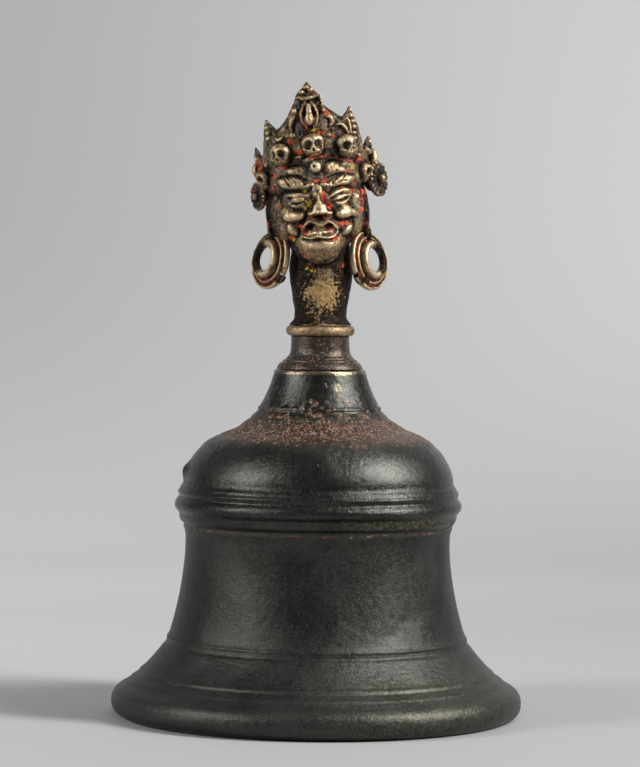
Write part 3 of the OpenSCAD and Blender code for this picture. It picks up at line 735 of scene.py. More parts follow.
class Clay:
    """Lumps of modelling clay, in millimetres, laid on a surface."""

    def __init__(self, surface):
        self.bm = bmesh.new()
        self.batches = []
        self.surface = surface

    def ball(self, centre, radii, turn=(0, 0, 0), axes=None, fine=2):
        """One ball, stretched to its half sizes and turned in degrees."""
        axes = axes or Matrix.Identity(3)
        leaning = Euler([math.radians(a) for a in turn]).to_matrix()
        matrix = (Matrix.Translation(centre) @ (axes @ leaning).to_4x4()
                  @ Matrix.Diagonal((*radii, 1)))
        if len(self.bm.verts) > BATCH:
            self.store()
        bmesh.ops.create_icosphere(self.bm, subdivisions=fine, radius=1, matrix=matrix)

    def store(self):
        """Sets aside what has been pressed so far, because small batches are much quicker."""
        batch = bpy.data.meshes.new("clay_batch")
        self.bm.to_mesh(batch)
        self.bm.clear()
        self.batches.append(batch)

    def gather(self):
        """Everything that was pressed, in one bmesh."""
        self.store()
        for batch in self.batches:
            self.bm.from_mesh(batch)
            bpy.data.meshes.remove(batch)
        return self.bm

    def lump(self, a, b, out, radii, lean=0, fine=3):
        """A ball on the surface: half its width, its thickness and its height."""
        place, axes = self.surface(a, b, out)
        self.ball(place, radii, (0, lean, 0), axes, fine)

    def roll(self, path, out=0.0, flat=0.8, spacing=0.3):
        """A roll along places of the surface, each with its own radius."""
        for a, b, radius in smooth_path(path, spacing):
            place, axes = self.surface(a, b, out)
            self.ball(place, (radius, radius * flat, radius), axes=axes)


def mesh_edges(mesh):
    """The two ends of every edge, as an array."""
    ends = np.empty(len(mesh.edges) * 2, np.int32)
    mesh.edges.foreach_get("vertices", ends)
    return ends.reshape(-1, 2)


def soften(values, ends, rounds):
    """Averages each row of values with its neighbours, again and again."""
    count = len(values)
    first, second = ends.T
    shared = np.bincount(ends.ravel(), minlength=count)[:, None]
    for _ in range(rounds):
        total = np.stack([np.bincount(first, column[second], count)
                          + np.bincount(second, column[first], count) for column in values.T], 1)
        values = 0.5 * values + 0.5 * total / shared
    return values


def fuse(clay, name, voxel, rounds=2):
    """Fuses the clay into one closed skin."""
    rough_piece = mesh_from(clay.gather(), name + "_clay")
    remesh = rough_piece.modifiers.new("fuse", "REMESH")
    remesh.mode = "VOXEL"
    remesh.voxel_size = voxel
    fused = bpy.data.meshes.new_from_object(
        rough_piece.evaluated_get(bpy.context.evaluated_depsgraph_get()))
    bpy.data.objects.remove(rough_piece)
    fused.name = name
    bm = bmesh.new()
    bm.from_mesh(fused)
    islands = sorted(split_islands(bm), key=len)
    bmesh.ops.delete(bm, geom=[v for island in islands[:-1] for v in island], context="VERTS")
    bmesh.ops.recalc_face_normals(bm, faces=bm.faces)
    bm.to_mesh(fused)
    bm.free()
    for polygon in fused.polygons:
        polygon.use_smooth = True
    move_to(fused, soften(places(fused), mesh_edges(fused), rounds))
    piece = bpy.data.objects.new(name, fused)
    bpy.context.scene.collection.objects.link(piece)
    return piece


def split_islands(bm):
    """The separate shells of a bmesh, each as a list of its vertices."""
    seen, islands = set(), []
    for start in bm.verts:
        if start in seen:
            continue
        seen.add(start)
        island, front = [], [start]
        while front:
            vertex = front.pop()
            island.append(vertex)
            for link in vertex.link_edges:
                other = link.other_vert(vertex)
                if other not in seen:
                    seen.add(other)
                    front.append(other)
        islands.append(island)
    return islands


def read_relief(mesh):
    """Stores how far each place stands above its surroundings, near and wide, in millimetres."""
    points, out, ends = places(mesh), directions(mesh), mesh_edges(mesh)
    near = soften(points, ends, 14)
    wide = soften(near, ends, 170)
    carry(mesh, "fine", np.einsum("ij,ij->i", points - near, out))
    carry(mesh, "broad", np.einsum("ij,ij->i", near - wide, out))


print("clay tools ready")

# %% [markdown]
# ## The guardian's head
# Four plain forms carry everything: skull, face, jaw and neck. On them lie the features that give
# the mask its temper: heavy brows, bulging eyes with rolled lids, a broad nose, round cheeks,
# tufts at the corners of an open mouth and an eye upright in the forehead. The two halves differ
# a little, as they do in wax, so left and right have their own numbers.
# %% Press the features on
head_clay = Clay(on_face)
for (middle_y, middle_z), half_sizes in SHELLS:
    head_clay.ball((0, middle_y, middle_z), half_sizes, fine=5)

NECK_FOOT, NECK_WAIST = (COLLAR_R - 0.7, COLLAR_TOP), (NECK_R, COLLAR_TOP + 3.4)
neck_outline = np.vstack([
    [(0, COLLAR_TOP), NECK_FOOT],
    curve((NECK_FOOT, (-1.1, 1.2), (0, -1.8), NECK_WAIST), 10),
    curve((NECK_WAIST, (0, 4.6), (-0.1, -7.1), (NECK_R + 2, CHIN_Z - 1)), 14),
    [(NECK_R + 1, CHIN_Z + 6), (0, CHIN_Z + 9)],
])
neck = spin(neck_outline, 96)
neck_mesh = bpy.data.meshes.new("neck_clay")
neck.to_mesh(neck_mesh)
neck.free()
neck_mesh.transform(HEAD.inverted())
head_clay.bm.from_mesh(neck_mesh)

LUMPS = [
    # x, z, how far out, (half width, thickness, half height), lean in degrees
    (-6.4, 31.6, -0.2, (3.3, 0.8, 1.7), 4), (6.3, 31.7, -0.1, (2.9, 1.0, 2.3), 0),  # forehead
    (9.0, 30.7, 0.0, (2.6, 0.8, 1.3), 14), (-1.4, 35.0, 0.2, (1.9, 0.7, 0.8), 0),
    (0.8, 32.2, 0.7, (1.85, 1.3, 2.1), 0),  # its bead
    (-1.55, 26.35, 0.35, (1.35, 0.8, 0.75), -8), (3.0, 26.2, 0.35, (1.2, 0.8, 0.85), 14),
    (0.55, 24.15, 0.1, (0.9, 0.8, 1.5), 0),  # the upright eye
    (-6.1, 22.0, 0.0, (2.5, 1.5, 1.5), 0), (-3.15, 22.9, 0.2, (0.75, 0.6, 0.5), 0),  # left eye
    (-13.1, 22.8, 0.2, (1.05, 1.0, 1.65), 0), (13.15, 21.2, 0.3, (1.35, 1.2, 1.5), 0),
    (0.75, 21.0, 0.1, (0.7, 1.0, 1.3), 0), (0.75, 19.9, 0.4, (1.2, 1.3, 1.3), 0),  # nose
    (0.72, 18.8, 0.6, (2.4, 1.6, 1.5), 0), (0.72, 18.0, 0.9, (2.6, 1.8, 1.1), 0),
    (0.7, 17.2, 1.0, (3.3, 1.9, 0.85), 0), (0.7, 17.4, 2.1, (1.6, 1.5, 0.95), 0),
    (-1.9, 17.0, 0.7, (1.35, 1.4, 0.75), 10), (3.6, 16.6, 0.7, (1.35, 1.4, 0.75), -10),
    (-8.2, 16.5, 0.1, (4.4, 1.8, 1.9), 4), (-10.2, 18.0, -0.5, (3.4, 1.6, 2.2), 0),  # cheeks
    (8.8, 16.2, 0.2, (3.9, 1.9, 1.9), -6), (9.4, 17.5, -0.1, (2.8, 1.5, 1.5), 0),
    (0.2, 11.2, -0.5, (4.2, 1.0, 1.6), 0), (0.2, 5.8, -1.3, (4.6, 1.8, 2.2), 0),  # chin
    (-8.7, 12.3, 0.5, (1.6, 1.2, 2.4), -34), (9.1, 10.7, 0.5, (1.5, 1.2, 2.5), 50),  # tufts
]
for x, z, out, half_sizes, lean in LUMPS:
    head_clay.lump(x, z, out, half_sizes, lean)

ROLLS = [
    # how far out, flatness, places with radii
    (0.3, 0.62, [(-12.2, 29.0, 0.35), (-11.0, 28.35, 1.35), (-9.2, 27.9, 2.05), (-7.2, 27.6, 2.1),
                 (-5.4, 27.0, 1.6), (-3.9, 26.2, 0.8), (-2.9, 25.7, 0.3)]),  # brows
    (0.3, 0.62, [(4.0, 25.6, 0.35), (5.6, 26.1, 0.95), (7.4, 26.7, 1.45), (9.6, 27.15, 1.8),
                 (11.6, 27.4, 1.45), (13.2, 27.8, 0.6)]),
    (0.35, 0.9, [(-9.6, 23.7, 0.3), (-8.0, 23.55, 0.5), (-6.2, 23.75, 0.6), (-4.7, 23.5, 0.55),
                 (-3.7, 23.0, 0.35)]),  # left lids
    (0.25, 0.9, [(-9.2, 21.2, 0.3), (-7.7, 20.1, 0.5), (-6.1, 19.7, 0.5), (-4.6, 20.3, 0.3)]),
    (0.45, 0.9, [(4.1, 21.5, 0.3), (5.4, 22.4, 0.6), (7.2, 23.3, 0.8), (9.2, 23.75, 0.85),
                 (10.8, 23.5, 0.7), (11.7, 22.8, 0.35)]),  # right lids, one over the other
    (0.35, 0.9, [(5.6, 20.7, 0.35), (6.9, 21.1, 0.85), (8.6, 21.7, 0.9), (10.1, 22.1, 0.75),
                 (11.6, 21.7, 0.4)]),
    (0.25, 0.9, [(6.4, 19.6, 0.25), (7.9, 19.4, 0.5), (9.4, 19.9, 0.5), (10.9, 20.7, 0.35)]),
    (0.4, 0.9, [(0.55, 26.3, 0.35), (-0.45, 25.2, 0.4), (-0.75, 23.9, 0.42), (0.0, 22.5, 0.4),
                (1.1, 22.5, 0.4), (1.85, 23.9, 0.42), (1.55, 25.2, 0.4),
                (0.55, 26.3, 0.35)]),  # rim of the upright eye
    (0.4, 0.9, [(-6.1, 10.9, 0.3), (-5.2, 12.4, 0.42), (-3.9, 13.8, 0.46), (-2.6, 14.3, 0.42),
                (-1.3, 13.7, 0.4), (0.1, 12.9, 0.42), (1.6, 13.1, 0.4), (3.2, 13.75, 0.42),
                (4.6, 12.9, 0.46), (5.5, 11.9, 0.42), (6.2, 10.8, 0.3)]),  # lips
    (0.4, 0.9, [(-6.0, 9.8, 0.3), (-4.5, 8.9, 0.45), (-2.4, 8.5, 0.52), (-0.6, 9.0, 0.46),
                (1.4, 8.45, 0.5), (3.6, 8.3, 0.5), (5.1, 9.0, 0.4), (6.0, 9.9, 0.28)]),
    (0.5, 0.9, [(11.0, 16.4, 1.4), (12.7, 15.3, 1.4), (13.4, 13.5, 1.35), (13.0, 11.4, 1.15),
                (12.0, 9.6, 0.6)]),  # right cheek's fold
]
for out, flat, path in ROLLS:
    head_clay.roll(path, out, flat)
print("head clay:", len(head_clay.batches), "batches")

# %% [markdown]
# The ears are long and heavy. Each is a flat ball with a rolled rim. Behind, a flat ribbon holds
# the crown: it runs round the skull from temple to temple.
# %% Ears and ribbon
EAR_RIM = [(-2.4, 11.5), (-3.4, 16.5), (-2.8, 21.5), (0.2, 25.0), (4.0, 24.0), (6.0, 19.5),
           (5.4, 14.0), (3.4, 10.2), (1.0, 8.0)]
EAR_FOLD = [(-0.6, 12.5), (0.4, 17.0), (2.6, 20.6), (3.6, 17.6), (2.6, 13.5)]
for side in (-1, 1):
    head_clay.ball((side * 15.2, 1.5, 17.0), (2.5, 5.4, 9.6), fine=4)
    head_clay.ball((side * 16.2, 0.3, 8.6), (1.6, 2.2, 2.8), fine=3)
    head_clay.ball((side * 9.2, -1.0, 18.0), (7.4, 9.8, 12.0), fine=4)
    for path, thick, out in ((EAR_RIM, 0.75, 16.8), (EAR_FOLD, 0.6, 16.8)):
        for y, z, _ in smooth_path([(y, z, 0) for y, z in path], 0.4):
            head_clay.ball((side * (out - 0.012 * (z - 17) ** 2), y, z), (thick,) * 3)
for turn in range(84, 277, 2):
    angle = math.radians(turn)
    z = 29.5 + 2.0 * math.cos(angle)
    ring = 0.15 + math.sqrt(1 - ((z - 29) / 15) ** 2)
    place = (17.0 * ring * math.sin(angle), 2 - 17.5 * ring * math.cos(angle), z)
    head_clay.ball(place, (0.9, 0.9, 2.1), (0, 0, turn))

head = fuse(head_clay, "head_cast", 0.33)
print("head fused:", len(head.data.polygons) * 2, "triangles")

# %% [markdown]
# ## Cutting with the pointed tool
# The last lines are cut, not pressed. A line is a path seen from the front; each point of the skin
# that lies near it and faces forward sinks by a depth that fades with its distance.
# %% Carving tools


def distance_to(path, flat_points):
    """The distance of every flat point from a path of straight stretches."""
    nearest = np.full(len(flat_points), 1e9)
    for start, end in zip(path[:-1], path[1:]):
        start, end = np.array(start, float), np.array(end, float)
        along = end - start
        share = held((flat_points - start) @ along / max(along @ along, 1e-9))
        away = np.linalg.norm(flat_points - start - share[:, None] * along, axis=1)
        nearest = np.minimum(nearest, away)
    return nearest


def cut_lines(flat_points, facing, lines):
    """How deep the skin sinks under a list of (width, depth, path)."""
    sunk = np.zeros(len(flat_points))
    for width, depth, path in lines:
        fine_path = [tuple(p[:2]) for p in smooth_path([(*p, 0) for p in path], 0.5)]
        away = distance_to(fine_path, flat_points) / width
        sunk = np.maximum(sunk, depth * np.exp(-away**2))
    return sunk * facing


def hollows(flat_points, facing, places):
    """How deep the skin sinks under a list of (x, z, half width, half height, depth)."""
    sunk = np.zeros(len(flat_points))
    for x, z, wide, high, depth in places:
        away = np.hypot((flat_points[:, 0] - x) / wide, (flat_points[:, 1] - z) / high)
        sunk = np.maximum(sunk, depth * held(1.25 - away**3))
    return sunk * facing


FACE_LINES = [
    # width, depth, path on the face
    (0.24, 0.6, [(-10.2, 29.6), (-8.6, 26.2)]),  # hairs of the brows
    (0.24, 0.6, [(-8.9, 29.8), (-7.4, 27.2)]), (0.24, 0.6, [(-7.7, 29.4), (-6.2, 27.4)]),
    (0.18, 0.22, [(-6.6, 28.6), (-5.6, 27.3)]), (0.18, 0.22, [(-11.2, 28.9), (-10.4, 27.2)]),
    (0.26, 0.55, [(5.9, 26.2), (6.7, 27.2), (7.4, 27.9)]),
    (0.26, 0.55, [(9.2, 27.4), (10.3, 28.5)]),
    (0.26, 0.55, [(7.9, 26.3), (9.2, 26.9), (10.9, 26.9)]),
    (0.18, 0.25, [(10.9, 27.6), (11.8, 28.4)]),
    (0.26, 0.45, [(-9.5, 22.7), (-7.8, 22.75), (-6.2, 23.1), (-4.4, 22.8)]),  # slits of the eyes
    (0.24, 0.45, [(4.9, 21.3), (6.8, 22.2), (9.0, 22.8), (11.0, 22.6)]),
    (0.24, 0.4, [(-8.6, 21.0), (-6.8, 20.5), (-5.0, 20.9)]),
    (0.24, 0.4, [(6.6, 20.2), (8.6, 20.6), (10.6, 21.2)]),
    (0.34, 0.5, [(-11.6, 20.6), (-11.9, 22.6), (-10.6, 24.7), (-7.4, 25.0), (-3.6, 24.4),
                 (-1.6, 24.8)]),
    (0.34, 0.5, [(2.8, 24.6), (4.4, 23.2), (5.2, 24.2), (8.4, 25.0), (11.6, 24.9), (12.9, 23.7)]),
    (0.34, 0.5, [(-1.5, 22.2), (-1.4, 20.4), (-2.4, 18.8), (-3.4, 17.8)]),  # beside the nose
    (0.34, 0.5, [(2.4, 22.0), (2.8, 20.2), (4.2, 18.6), (5.0, 17.6)]),
    (0.45, 0.55, [(-3.9, 17.6), (-4.2, 15.6), (-5.8, 14.3), (-6.6, 12.8), (-6.4, 11.2)]),
    (0.45, 0.55, [(5.4, 17.2), (5.7, 15.0), (7.4, 13.6), (9.4, 13.7), (11.2, 14.0)]),
    (0.36, 0.5, [(11.6, 13.6), (11.9, 11.6), (10.2, 9.4), (8.0, 8.4)]),
    (0.5, 0.35, [(-6.4, 8.9), (-4.6, 8.0), (-0.4, 7.8), (3.8, 7.3), (6.2, 8.4)]),
    (0.40, 0.25, [(-3.6, 1.4), (-1.4, 0.7), (1.6, 0.7), (3.8, 1.3)]),
    (0.3, 0.2, [(-9.8, 33.3), (-6.4, 33.7), (-2.6, 33.0), (-1.7, 31.4), (-2.2, 29.2)]),
    (0.3, 0.2, [(10.6, 33.6), (7.0, 34.4), (3.9, 33.6), (3.2, 31.4), (3.4, 29.0)]),
    (0.28, 0.4, [(-12.8, 29.9), (-9.4, 30.4), (-5.4, 29.9), (-2.4, 27.9)]),
    (0.28, 0.4, [(3.2, 27.6), (6.0, 28.9), (9.4, 29.5), (13.6, 28.9)]),
]
FACE_HOLLOWS = [
    # x, z, half width, half height, depth
    (0.7, 15.7, 3.2, 0.62, 1.2), (0.75, 14.6, 1.5, 0.6, 0.6),  # under the nose
    (-0.1, 11.2, 4.6, 1.2, 0.75), (-3.0, 12.4, 1.4, 0.8, 0.9), (3.4, 12.1, 1.4, 0.8, 0.9),  # mouth
    (0.55, 24.1, 0.55, 0.8, 0.9), (0.35, 32.7, 0.75, 0.75, 0.8), (0.0, 33.6, 0.4, 0.6, 0.5),
]
# left end, right end, height of the row and half its height
TEETH = (-2.9, 4.3, 10.5, 0.5)
STRANDS = 34
RIBBON_Z = 28.0

points, out = places(head.data), directions(head.data)
flat = points[:, [0, 2]]
facing = held((-out[:, 1] - 0.05) * 2.5) * (points[:, 1] < -3)
sunk = np.maximum(cut_lines(flat, facing, FACE_LINES), hollows(flat, facing, FACE_HOLLOWS))
first, last, row_z, half_row = TEETH
along = held((flat[:, 0] - first) / (last - first))
in_row = (along > 0) & (along < 1)
tooth_height = held(1.3 - (np.abs(flat[:, 1] - row_z) / half_row) ** 3)
tooth = np.abs(np.sin(along * math.pi * 4)) ** 0.5 * tooth_height
sunk -= 0.85 * tooth * in_row * facing

behind = held((points[:, 1] + 1.0) / 5) * held((points[:, 2] - 9) / 3)
around = np.degrees(np.arctan2(points[:, 0], -(points[:, 1] - 3)))
strand = np.cos(np.radians(around) * STRANDS + 0.5 * np.sin(points[:, 2] * 0.45)
                + 0.8 * wander(points, 9, 21))
off_ribbon = held(np.abs(points[:, 2] - RIBBON_Z) / 1.2 - 1.6)
sunk += 0.22 * (0.5 + 0.5 * strand) * behind * off_ribbon * (np.abs(points[:, 0]) < 15.8)
sunk += 0.28 * held(-wander(points, 1.1, 22)) - 0.16 * wander(points, 2.6, 23)
move_to(head.data, points - out * sunk[:, None])
move_to(head.data, soften(places(head.data), mesh_edges(head.data), 1))
read_relief(head.data)
print("deepest cut:", round(float(sunk.max()), 2), "mm")

# %% [markdown]
# The head's metal shows two faces. Where fingers touch it, it is pale worn brass. In every hollow
# it is black, with flakes of red and a little yellow paint left from old offerings. The mesh
# already knows how far each place stands out, near and wide, so those two numbers, shaken by
# noise, choose between soot, a brown skin and bare metal. The paint lies in spots that are listed.
# %% Finish for worn brass
PALE_BRASS = colour(0.64, 0.495, 0.31)
WARM_BRASS = colour(0.33, 0.215, 0.102)
SOOT = colour(0.014, 0.012, 0.010)
BROWN_SKIN = colour(0.160, 0.105, 0.062)
GREY_SKIN = colour(0.165, 0.153, 0.132)
RED_PAINT = colour(0.70, 0.085, 0.020)
DULL_RED = colour(0.30, 0.045, 0.016)
OCHRE = colour(0.58, 0.41, 0.19)
YELLOW_PAINT = colour(0.60, 0.44, 0.02)


def worn_brass(name, worn=0.0):
    """Brass rubbed bright where it stands out, brown between, black with paint where it sinks."""
    f = Finish(name)
    clouds = f.noise(170, 5, 0.6)
    grain = f.noise(950, 5, 0.72)
    speckle = f.noise(1500, 4, 0.8)
    # On the head, gild also carries painted shade under the jaw and down the neck.
    stands = (f.attribute("broad") * 1.0 + f.attribute("fine") * 2.2 + (clouds - 0.5) * 1.0
              + (grain - 0.5) * 1.9 + f.attribute("gild") + worn)
    rub = f.step(stands, 0.04, 0.45)
    skin = f.step(stands + (speckle - 0.5) * 1.4, -0.42, 0.14)
    brown = f.blend(f.step(f.noise(330, 4, 0.6), 0.42, 0.62), BROWN_SKIN, GREY_SKIN)
    base = f.blend(skin, SOOT, brown)
    ochre = f.step(f.attribute("ochre") + (grain - 0.5) * 3.4 + (clouds - 0.5) * 1.6, 0.36, 0.60)
    base = f.blend(ochre, base, f.blend(f.step(speckle, 0.38, 0.60), WARM_BRASS, OCHRE))
    metal_tone = f.step(f.noise(420, 4, 0.6) * 0.7 + stands * 0.5, 0.42, 1.0)
    base = f.blend(rub, base, f.blend(metal_tone, WARM_BRASS, PALE_BRASS))
    pores = f.step(speckle, 0.58, 0.66) * f.step(stands, 0.95, 0.35)
    base = f.blend(pores * 0.75, base, SOOT)
    flakes = f.noise(900, 5, 0.85)
    red = f.step(f.attribute("red") + (flakes - 0.5) * 4.2 - rub * 0.25, 0.50, 0.62)
    base = f.blend(red, base, f.blend(f.step(f.noise(1100, 3), 0.32, 0.52), DULL_RED, RED_PAINT))
    chips = f.noise(850, 5, 0.85, warp=0.3)
    yellow = f.step(f.attribute("yellow") + (chips - 0.5) * 4.2 - rub * 0.2, 0.52, 0.64) * (1 - red)
    base = f.blend(yellow, base, YELLOW_PAINT)
    paint = red + yellow
    rough = 0.56 - rub * 0.17 + grain * 0.12 + paint * 0.2
    normal = f.bump(grain * 0.7 + speckle * 0.4 + paint * 0.4, 0.00028, 0.8)
    return f.close(Base_Color=base, Metallic=f.step(paint, 0.0, 1.0, 0.9, 0.0), Roughness=rough,
                   Normal=normal)


def all_around(points, centre, size):
    """A soft spot of the given size about one place."""
    away = np.linalg.norm((points - np.array(centre)) / np.array(size), axis=1)
    return np.exp(-away**2 * 1.5)


def spots(places_seen, facing, marks, everywhere=0.0):
    """Soft spots of paint at (x, z, half width, half height) seen from the front."""
    paint = np.full(len(places_seen), everywhere)
    for x, z, wide, high in marks:
        away = np.hypot((places_seen[:, 0] - x) / wide, (places_seen[:, 1] - z) / high)
        paint = np.maximum(paint, 0.74 * np.exp(-0.6 * away**2) * facing)
    return paint


def dress(piece, finish, *nodes, gild=0.0, red=0.0, yellow=0.0, ochre=-1.0):
    """Gives a carved piece its finish and the masks that the finish reads."""
    count = len(piece.data.vertices)
    for name, numbers in (("gild", gild), ("red", red), ("yellow", yellow), ("ochre", ochre)):
        carry(piece.data, name, np.zeros(count) + numbers)
    settle(piece, finish, "worn_brass", *nodes)


RED_MARKS = [
    # x, z, half width, half height
    (2.3, 23.0, 0.9, 1.5), (3.2, 20.4, 0.9, 1.2), (4.1, 18.9, 1.2, 1.1), (3.3, 27.6, 1.2, 0.5),
    (0.2, 27.5, 1.0, 0.7), (-4.7, 10.6, 1.2, 0.7), (-6.0, 13.2, 0.9, 0.8), (-9.6, 9.6, 0.9, 0.6),
    (4.1, 10.9, 1.0, 1.3), (5.2, 7.8, 1.5, 0.9), (8.4, 12.6, 2.2, 0.8), (11.0, 6.4, 1.5, 1.2),
    (-2.1, 15.6, 0.7, 0.6), (2.6, 15.4, 1.2, 0.7), (15.9, 22.9, 0.9, 1.4), (15.7, 20.1, 0.9, 1.1),
    (15.0, 17.0, 0.8, 1.1), (16.2, 12.2, 0.8, 0.8), (11.3, 29.8, 1.0, 0.6), (-13.0, 31.0, 0.7, 1.2),
    (-10.1, 33.1, 0.9, 0.9), (-14.2, 26.9, 0.7, 1.1), (-12.3, 20.8, 1.1, 0.5),
    (8.8, 24.9, 0.9, 0.5),
    (12.3, 23.3, 0.8, 0.7), (9.6, 19.4, 0.8, 0.5), (12.9, 26.2, 0.6, 0.8), (-17.0, 14.5, 0.6, 0.9),
    (-5.4, 3.2, 0.8, 0.6), (-4.0, 0.0, 0.6, 0.6), (6.9, -1.2, 0.9, 0.8),
]
YELLOW_MARKS = [
    (-2.7, 20.2, 1.2, 1.0), (-4.0, 19.4, 1.0, 0.9), (-3.4, 24.5, 0.9, 0.7), (13.4, 31.4, 0.9, 0.8),
    (14.6, 28.4, 0.5, 0.9), (17.4, 24.2, 1.0, 0.7), (-8.9, 8.7, 0.7, 0.6), (-6.5, 8.9, 0.6, 0.5),
    (-5.2, -1.2, 0.6, 0.7), (-3.6, -2.2, 0.8, 0.8),
]
NECK_PATCH = (1.2, -11, 143.0)
NECK_PATCH_SIZE = (14.0, 9, 12.5)

points, out = places(head.data), directions(head.data)
seen, facing = points[:, [0, 2]], held(-out[:, 1] * 3 + 0.6) * (points[:, 1] < 2)
red_there = spots(seen, facing, RED_MARKS, 0.03)
yellow_there = spots(seen, facing, YELLOW_MARKS, -0.1)
x, z = seen.T
chin_half = 2.6 + 0.65 * np.clip(z, 0, 9)
# The jaw's sides are darkened as unrubbed patina and as painted shade beside the jaw; the skin
# under the jaw is darkened as painted shade.
jaw_sides_shade_and_patina = held((np.abs(x + 0.2) - chin_half) / 2.2) * held((9.5 - z) / 2)
painted_shade_under_jaw = held((points[:, 1] + 11.5) / 2) * held(1 - np.abs(z - 1.5) / 5.5)
mouth = np.exp(-(x / 5.0) ** 4 - ((z - 11.3) / 1.6) ** 4) * facing
chin = np.exp(-((x - 0.2) / 4.0) ** 2 - ((z - 5.8) / 2.0) ** 2) * facing
forehead = np.exp(-((z - 32) / 2.4) ** 2) * held(np.abs(x - 0.8) - 2.2) * facing
ear_edges = held((np.abs(x) - 16.0) / 0.6)
gild = 0.6 * mouth + 0.3 * chin - 0.75 * jaw_sides_shade_and_patina - 0.9 * painted_shade_under_jaw
gild = gild - 0.2 * forehead - 0.5 * ear_edges
gild -= 0.35 * held((np.where(x < 0, -x - 12.4, x - 13.9)) / 1.4)
gild -= 0.30 * held((points[:, 1] + 7) / 6)
head.data.transform(HEAD)
points = places(head.data)
front_patch = all_around(points, NECK_PATCH, NECK_PATCH_SIZE)
# Painted shade: the neck below the chin is darkened, as the shade under the head.
painted_shade_down_neck = 0.5 * held((152 - points[:, 2]) / 6)
dress(head, worn_brass("worn_brass_head", worn=0.03), "head", gild=gild - painted_shade_down_neck, red=red_there,
      yellow=yellow_there, ochre=1.6 * front_patch - 0.68)

# %% [markdown]
# ## The crown of five leaves
# One upright band with a jagged top runs round the brow from ear to ear. A flat grid is enough:
# its columns follow the turn, its rows rise from the foot to the jagged edge, and solidify gives
# it the thickness of a casting. Skulls, a jewel, beads and scrolls are pressed on like the face.
# %% Cut the band
LEAF_THICKNESS = 2.2
CROWN_TOP = [
    # turn from the front in degrees, height above the chin
    (-112, 27), (-104, 32.5), (-96, 36.5), (-89, 39.3), (-82, 41.4), (-76, 39.6), (-70, 36.8),
    (-65, 38.6), (-61, 42.5), (-59.5, 45.2), (-57, 47.8), (-52.5, 50.3), (-47, 48.4), (-42, 46.8),
    (-38, 45.9), (-33, 46.9), (-27, 48.6), (-19.5, 51.5), (-15, 54.2), (-12.5, 55.6), (-10.8, 56.8),
    (-6.0, 58.4), (1.5, 61.0), (6.8, 59.2), (11.0, 57.2), (13.4, 55.4), (15.5, 54.0), (19, 52.4),
    (25, 50.9), (31, 49.8), (37.5, 48.6), (41, 48.8), (45, 49.9), (51, 51.9), (55.5, 49.6),
    (60, 46.6), (64, 42.9), (68, 39.3), (73, 38.0), (78, 40.4), (82, 41.6), (88, 39.0), (95, 36.4),
    (104, 32.5), (112, 27),
]


def crown_top(turn):
    """The height of the jagged edge."""
    return float(np.interp(turn, *zip(*CROWN_TOP)))


crown_clay = Clay(on_crown)
sheet = bmesh.new()
bmesh.ops.create_grid(sheet, x_segments=300, y_segments=24, size=1)
for vertex in sheet.verts:
    turn = vertex.co.x * 110
    share = (vertex.co.y + 1) / 2
    foot = crown_foot(turn)
    vertex.co = on_crown(turn, foot + share * (crown_top(turn) - foot), 0)[0]
bmesh.ops.recalc_face_normals(sheet, faces=sheet.faces)
middle = next(iter(sheet.faces))
inward = middle.normal.dot(middle.calc_center_median() - Vector((0, CROWN_BACK, 35))) < 0
bmesh.ops.solidify(sheet, geom=sheet.faces, thickness=-LEAF_THICKNESS if inward else LEAF_THICKNESS)
for vertex in sheet.verts:
    turn = math.degrees(math.atan2(vertex.co.x, -(vertex.co.y - CROWN_BACK)))
    skin = on_crown(turn, vertex.co.z, 0)[0]
    if (skin - vertex.co).length > LEAF_THICKNESS / 2:
        thinned = 0.6 * min(max(1 - (crown_top(turn) - vertex.co.z) / 3.5, 0), 1)
        vertex.co = vertex.co.lerp(skin, thinned)
sheet_mesh = bpy.data.meshes.new("crown_sheet")
sheet.to_mesh(sheet_mesh)
sheet.free()
crown_clay.bm.from_mesh(sheet_mesh)
extent = places(sheet_mesh)
widest = np.hypot(extent[:, 0], extent[:, 1] - CROWN_BACK).max()
print("band reaches out to", round(float(widest), 2), "mm")

# %% Lay on skulls, jewel and scrolls
DEGREES_PER_MM = math.degrees(1 / CROWN_RADIUS)
SKULLS = [
    # turn, height, half width
    (-72, 29.8, 3.4), (-33.5, 37.3, 3.75), (2.0, 39.5, 3.9), (38.5, 38.3, 3.75), (76, 29.2, 3.4),
]


def skull(turn, z, size):
    """A small skull: cranium, cheekbones, short jaw; the sockets are cut later."""
    crown_clay.lump(turn, z + 0.25 * size, 1.1, (size, size * 0.85, size * 0.84))
    crown_clay.lump(turn, z - 0.42 * size, 1.15, (size * 0.78, size * 0.78, size * 0.58))
    for side in (-1, 1):
        crown_clay.lump(turn + side * 0.58 * size * DEGREES_PER_MM, z - 0.22 * size, 1.7,
                        (size * 0.3, size * 0.5, size * 0.26))


for skull_facts in SKULLS:
    skull(*skull_facts)

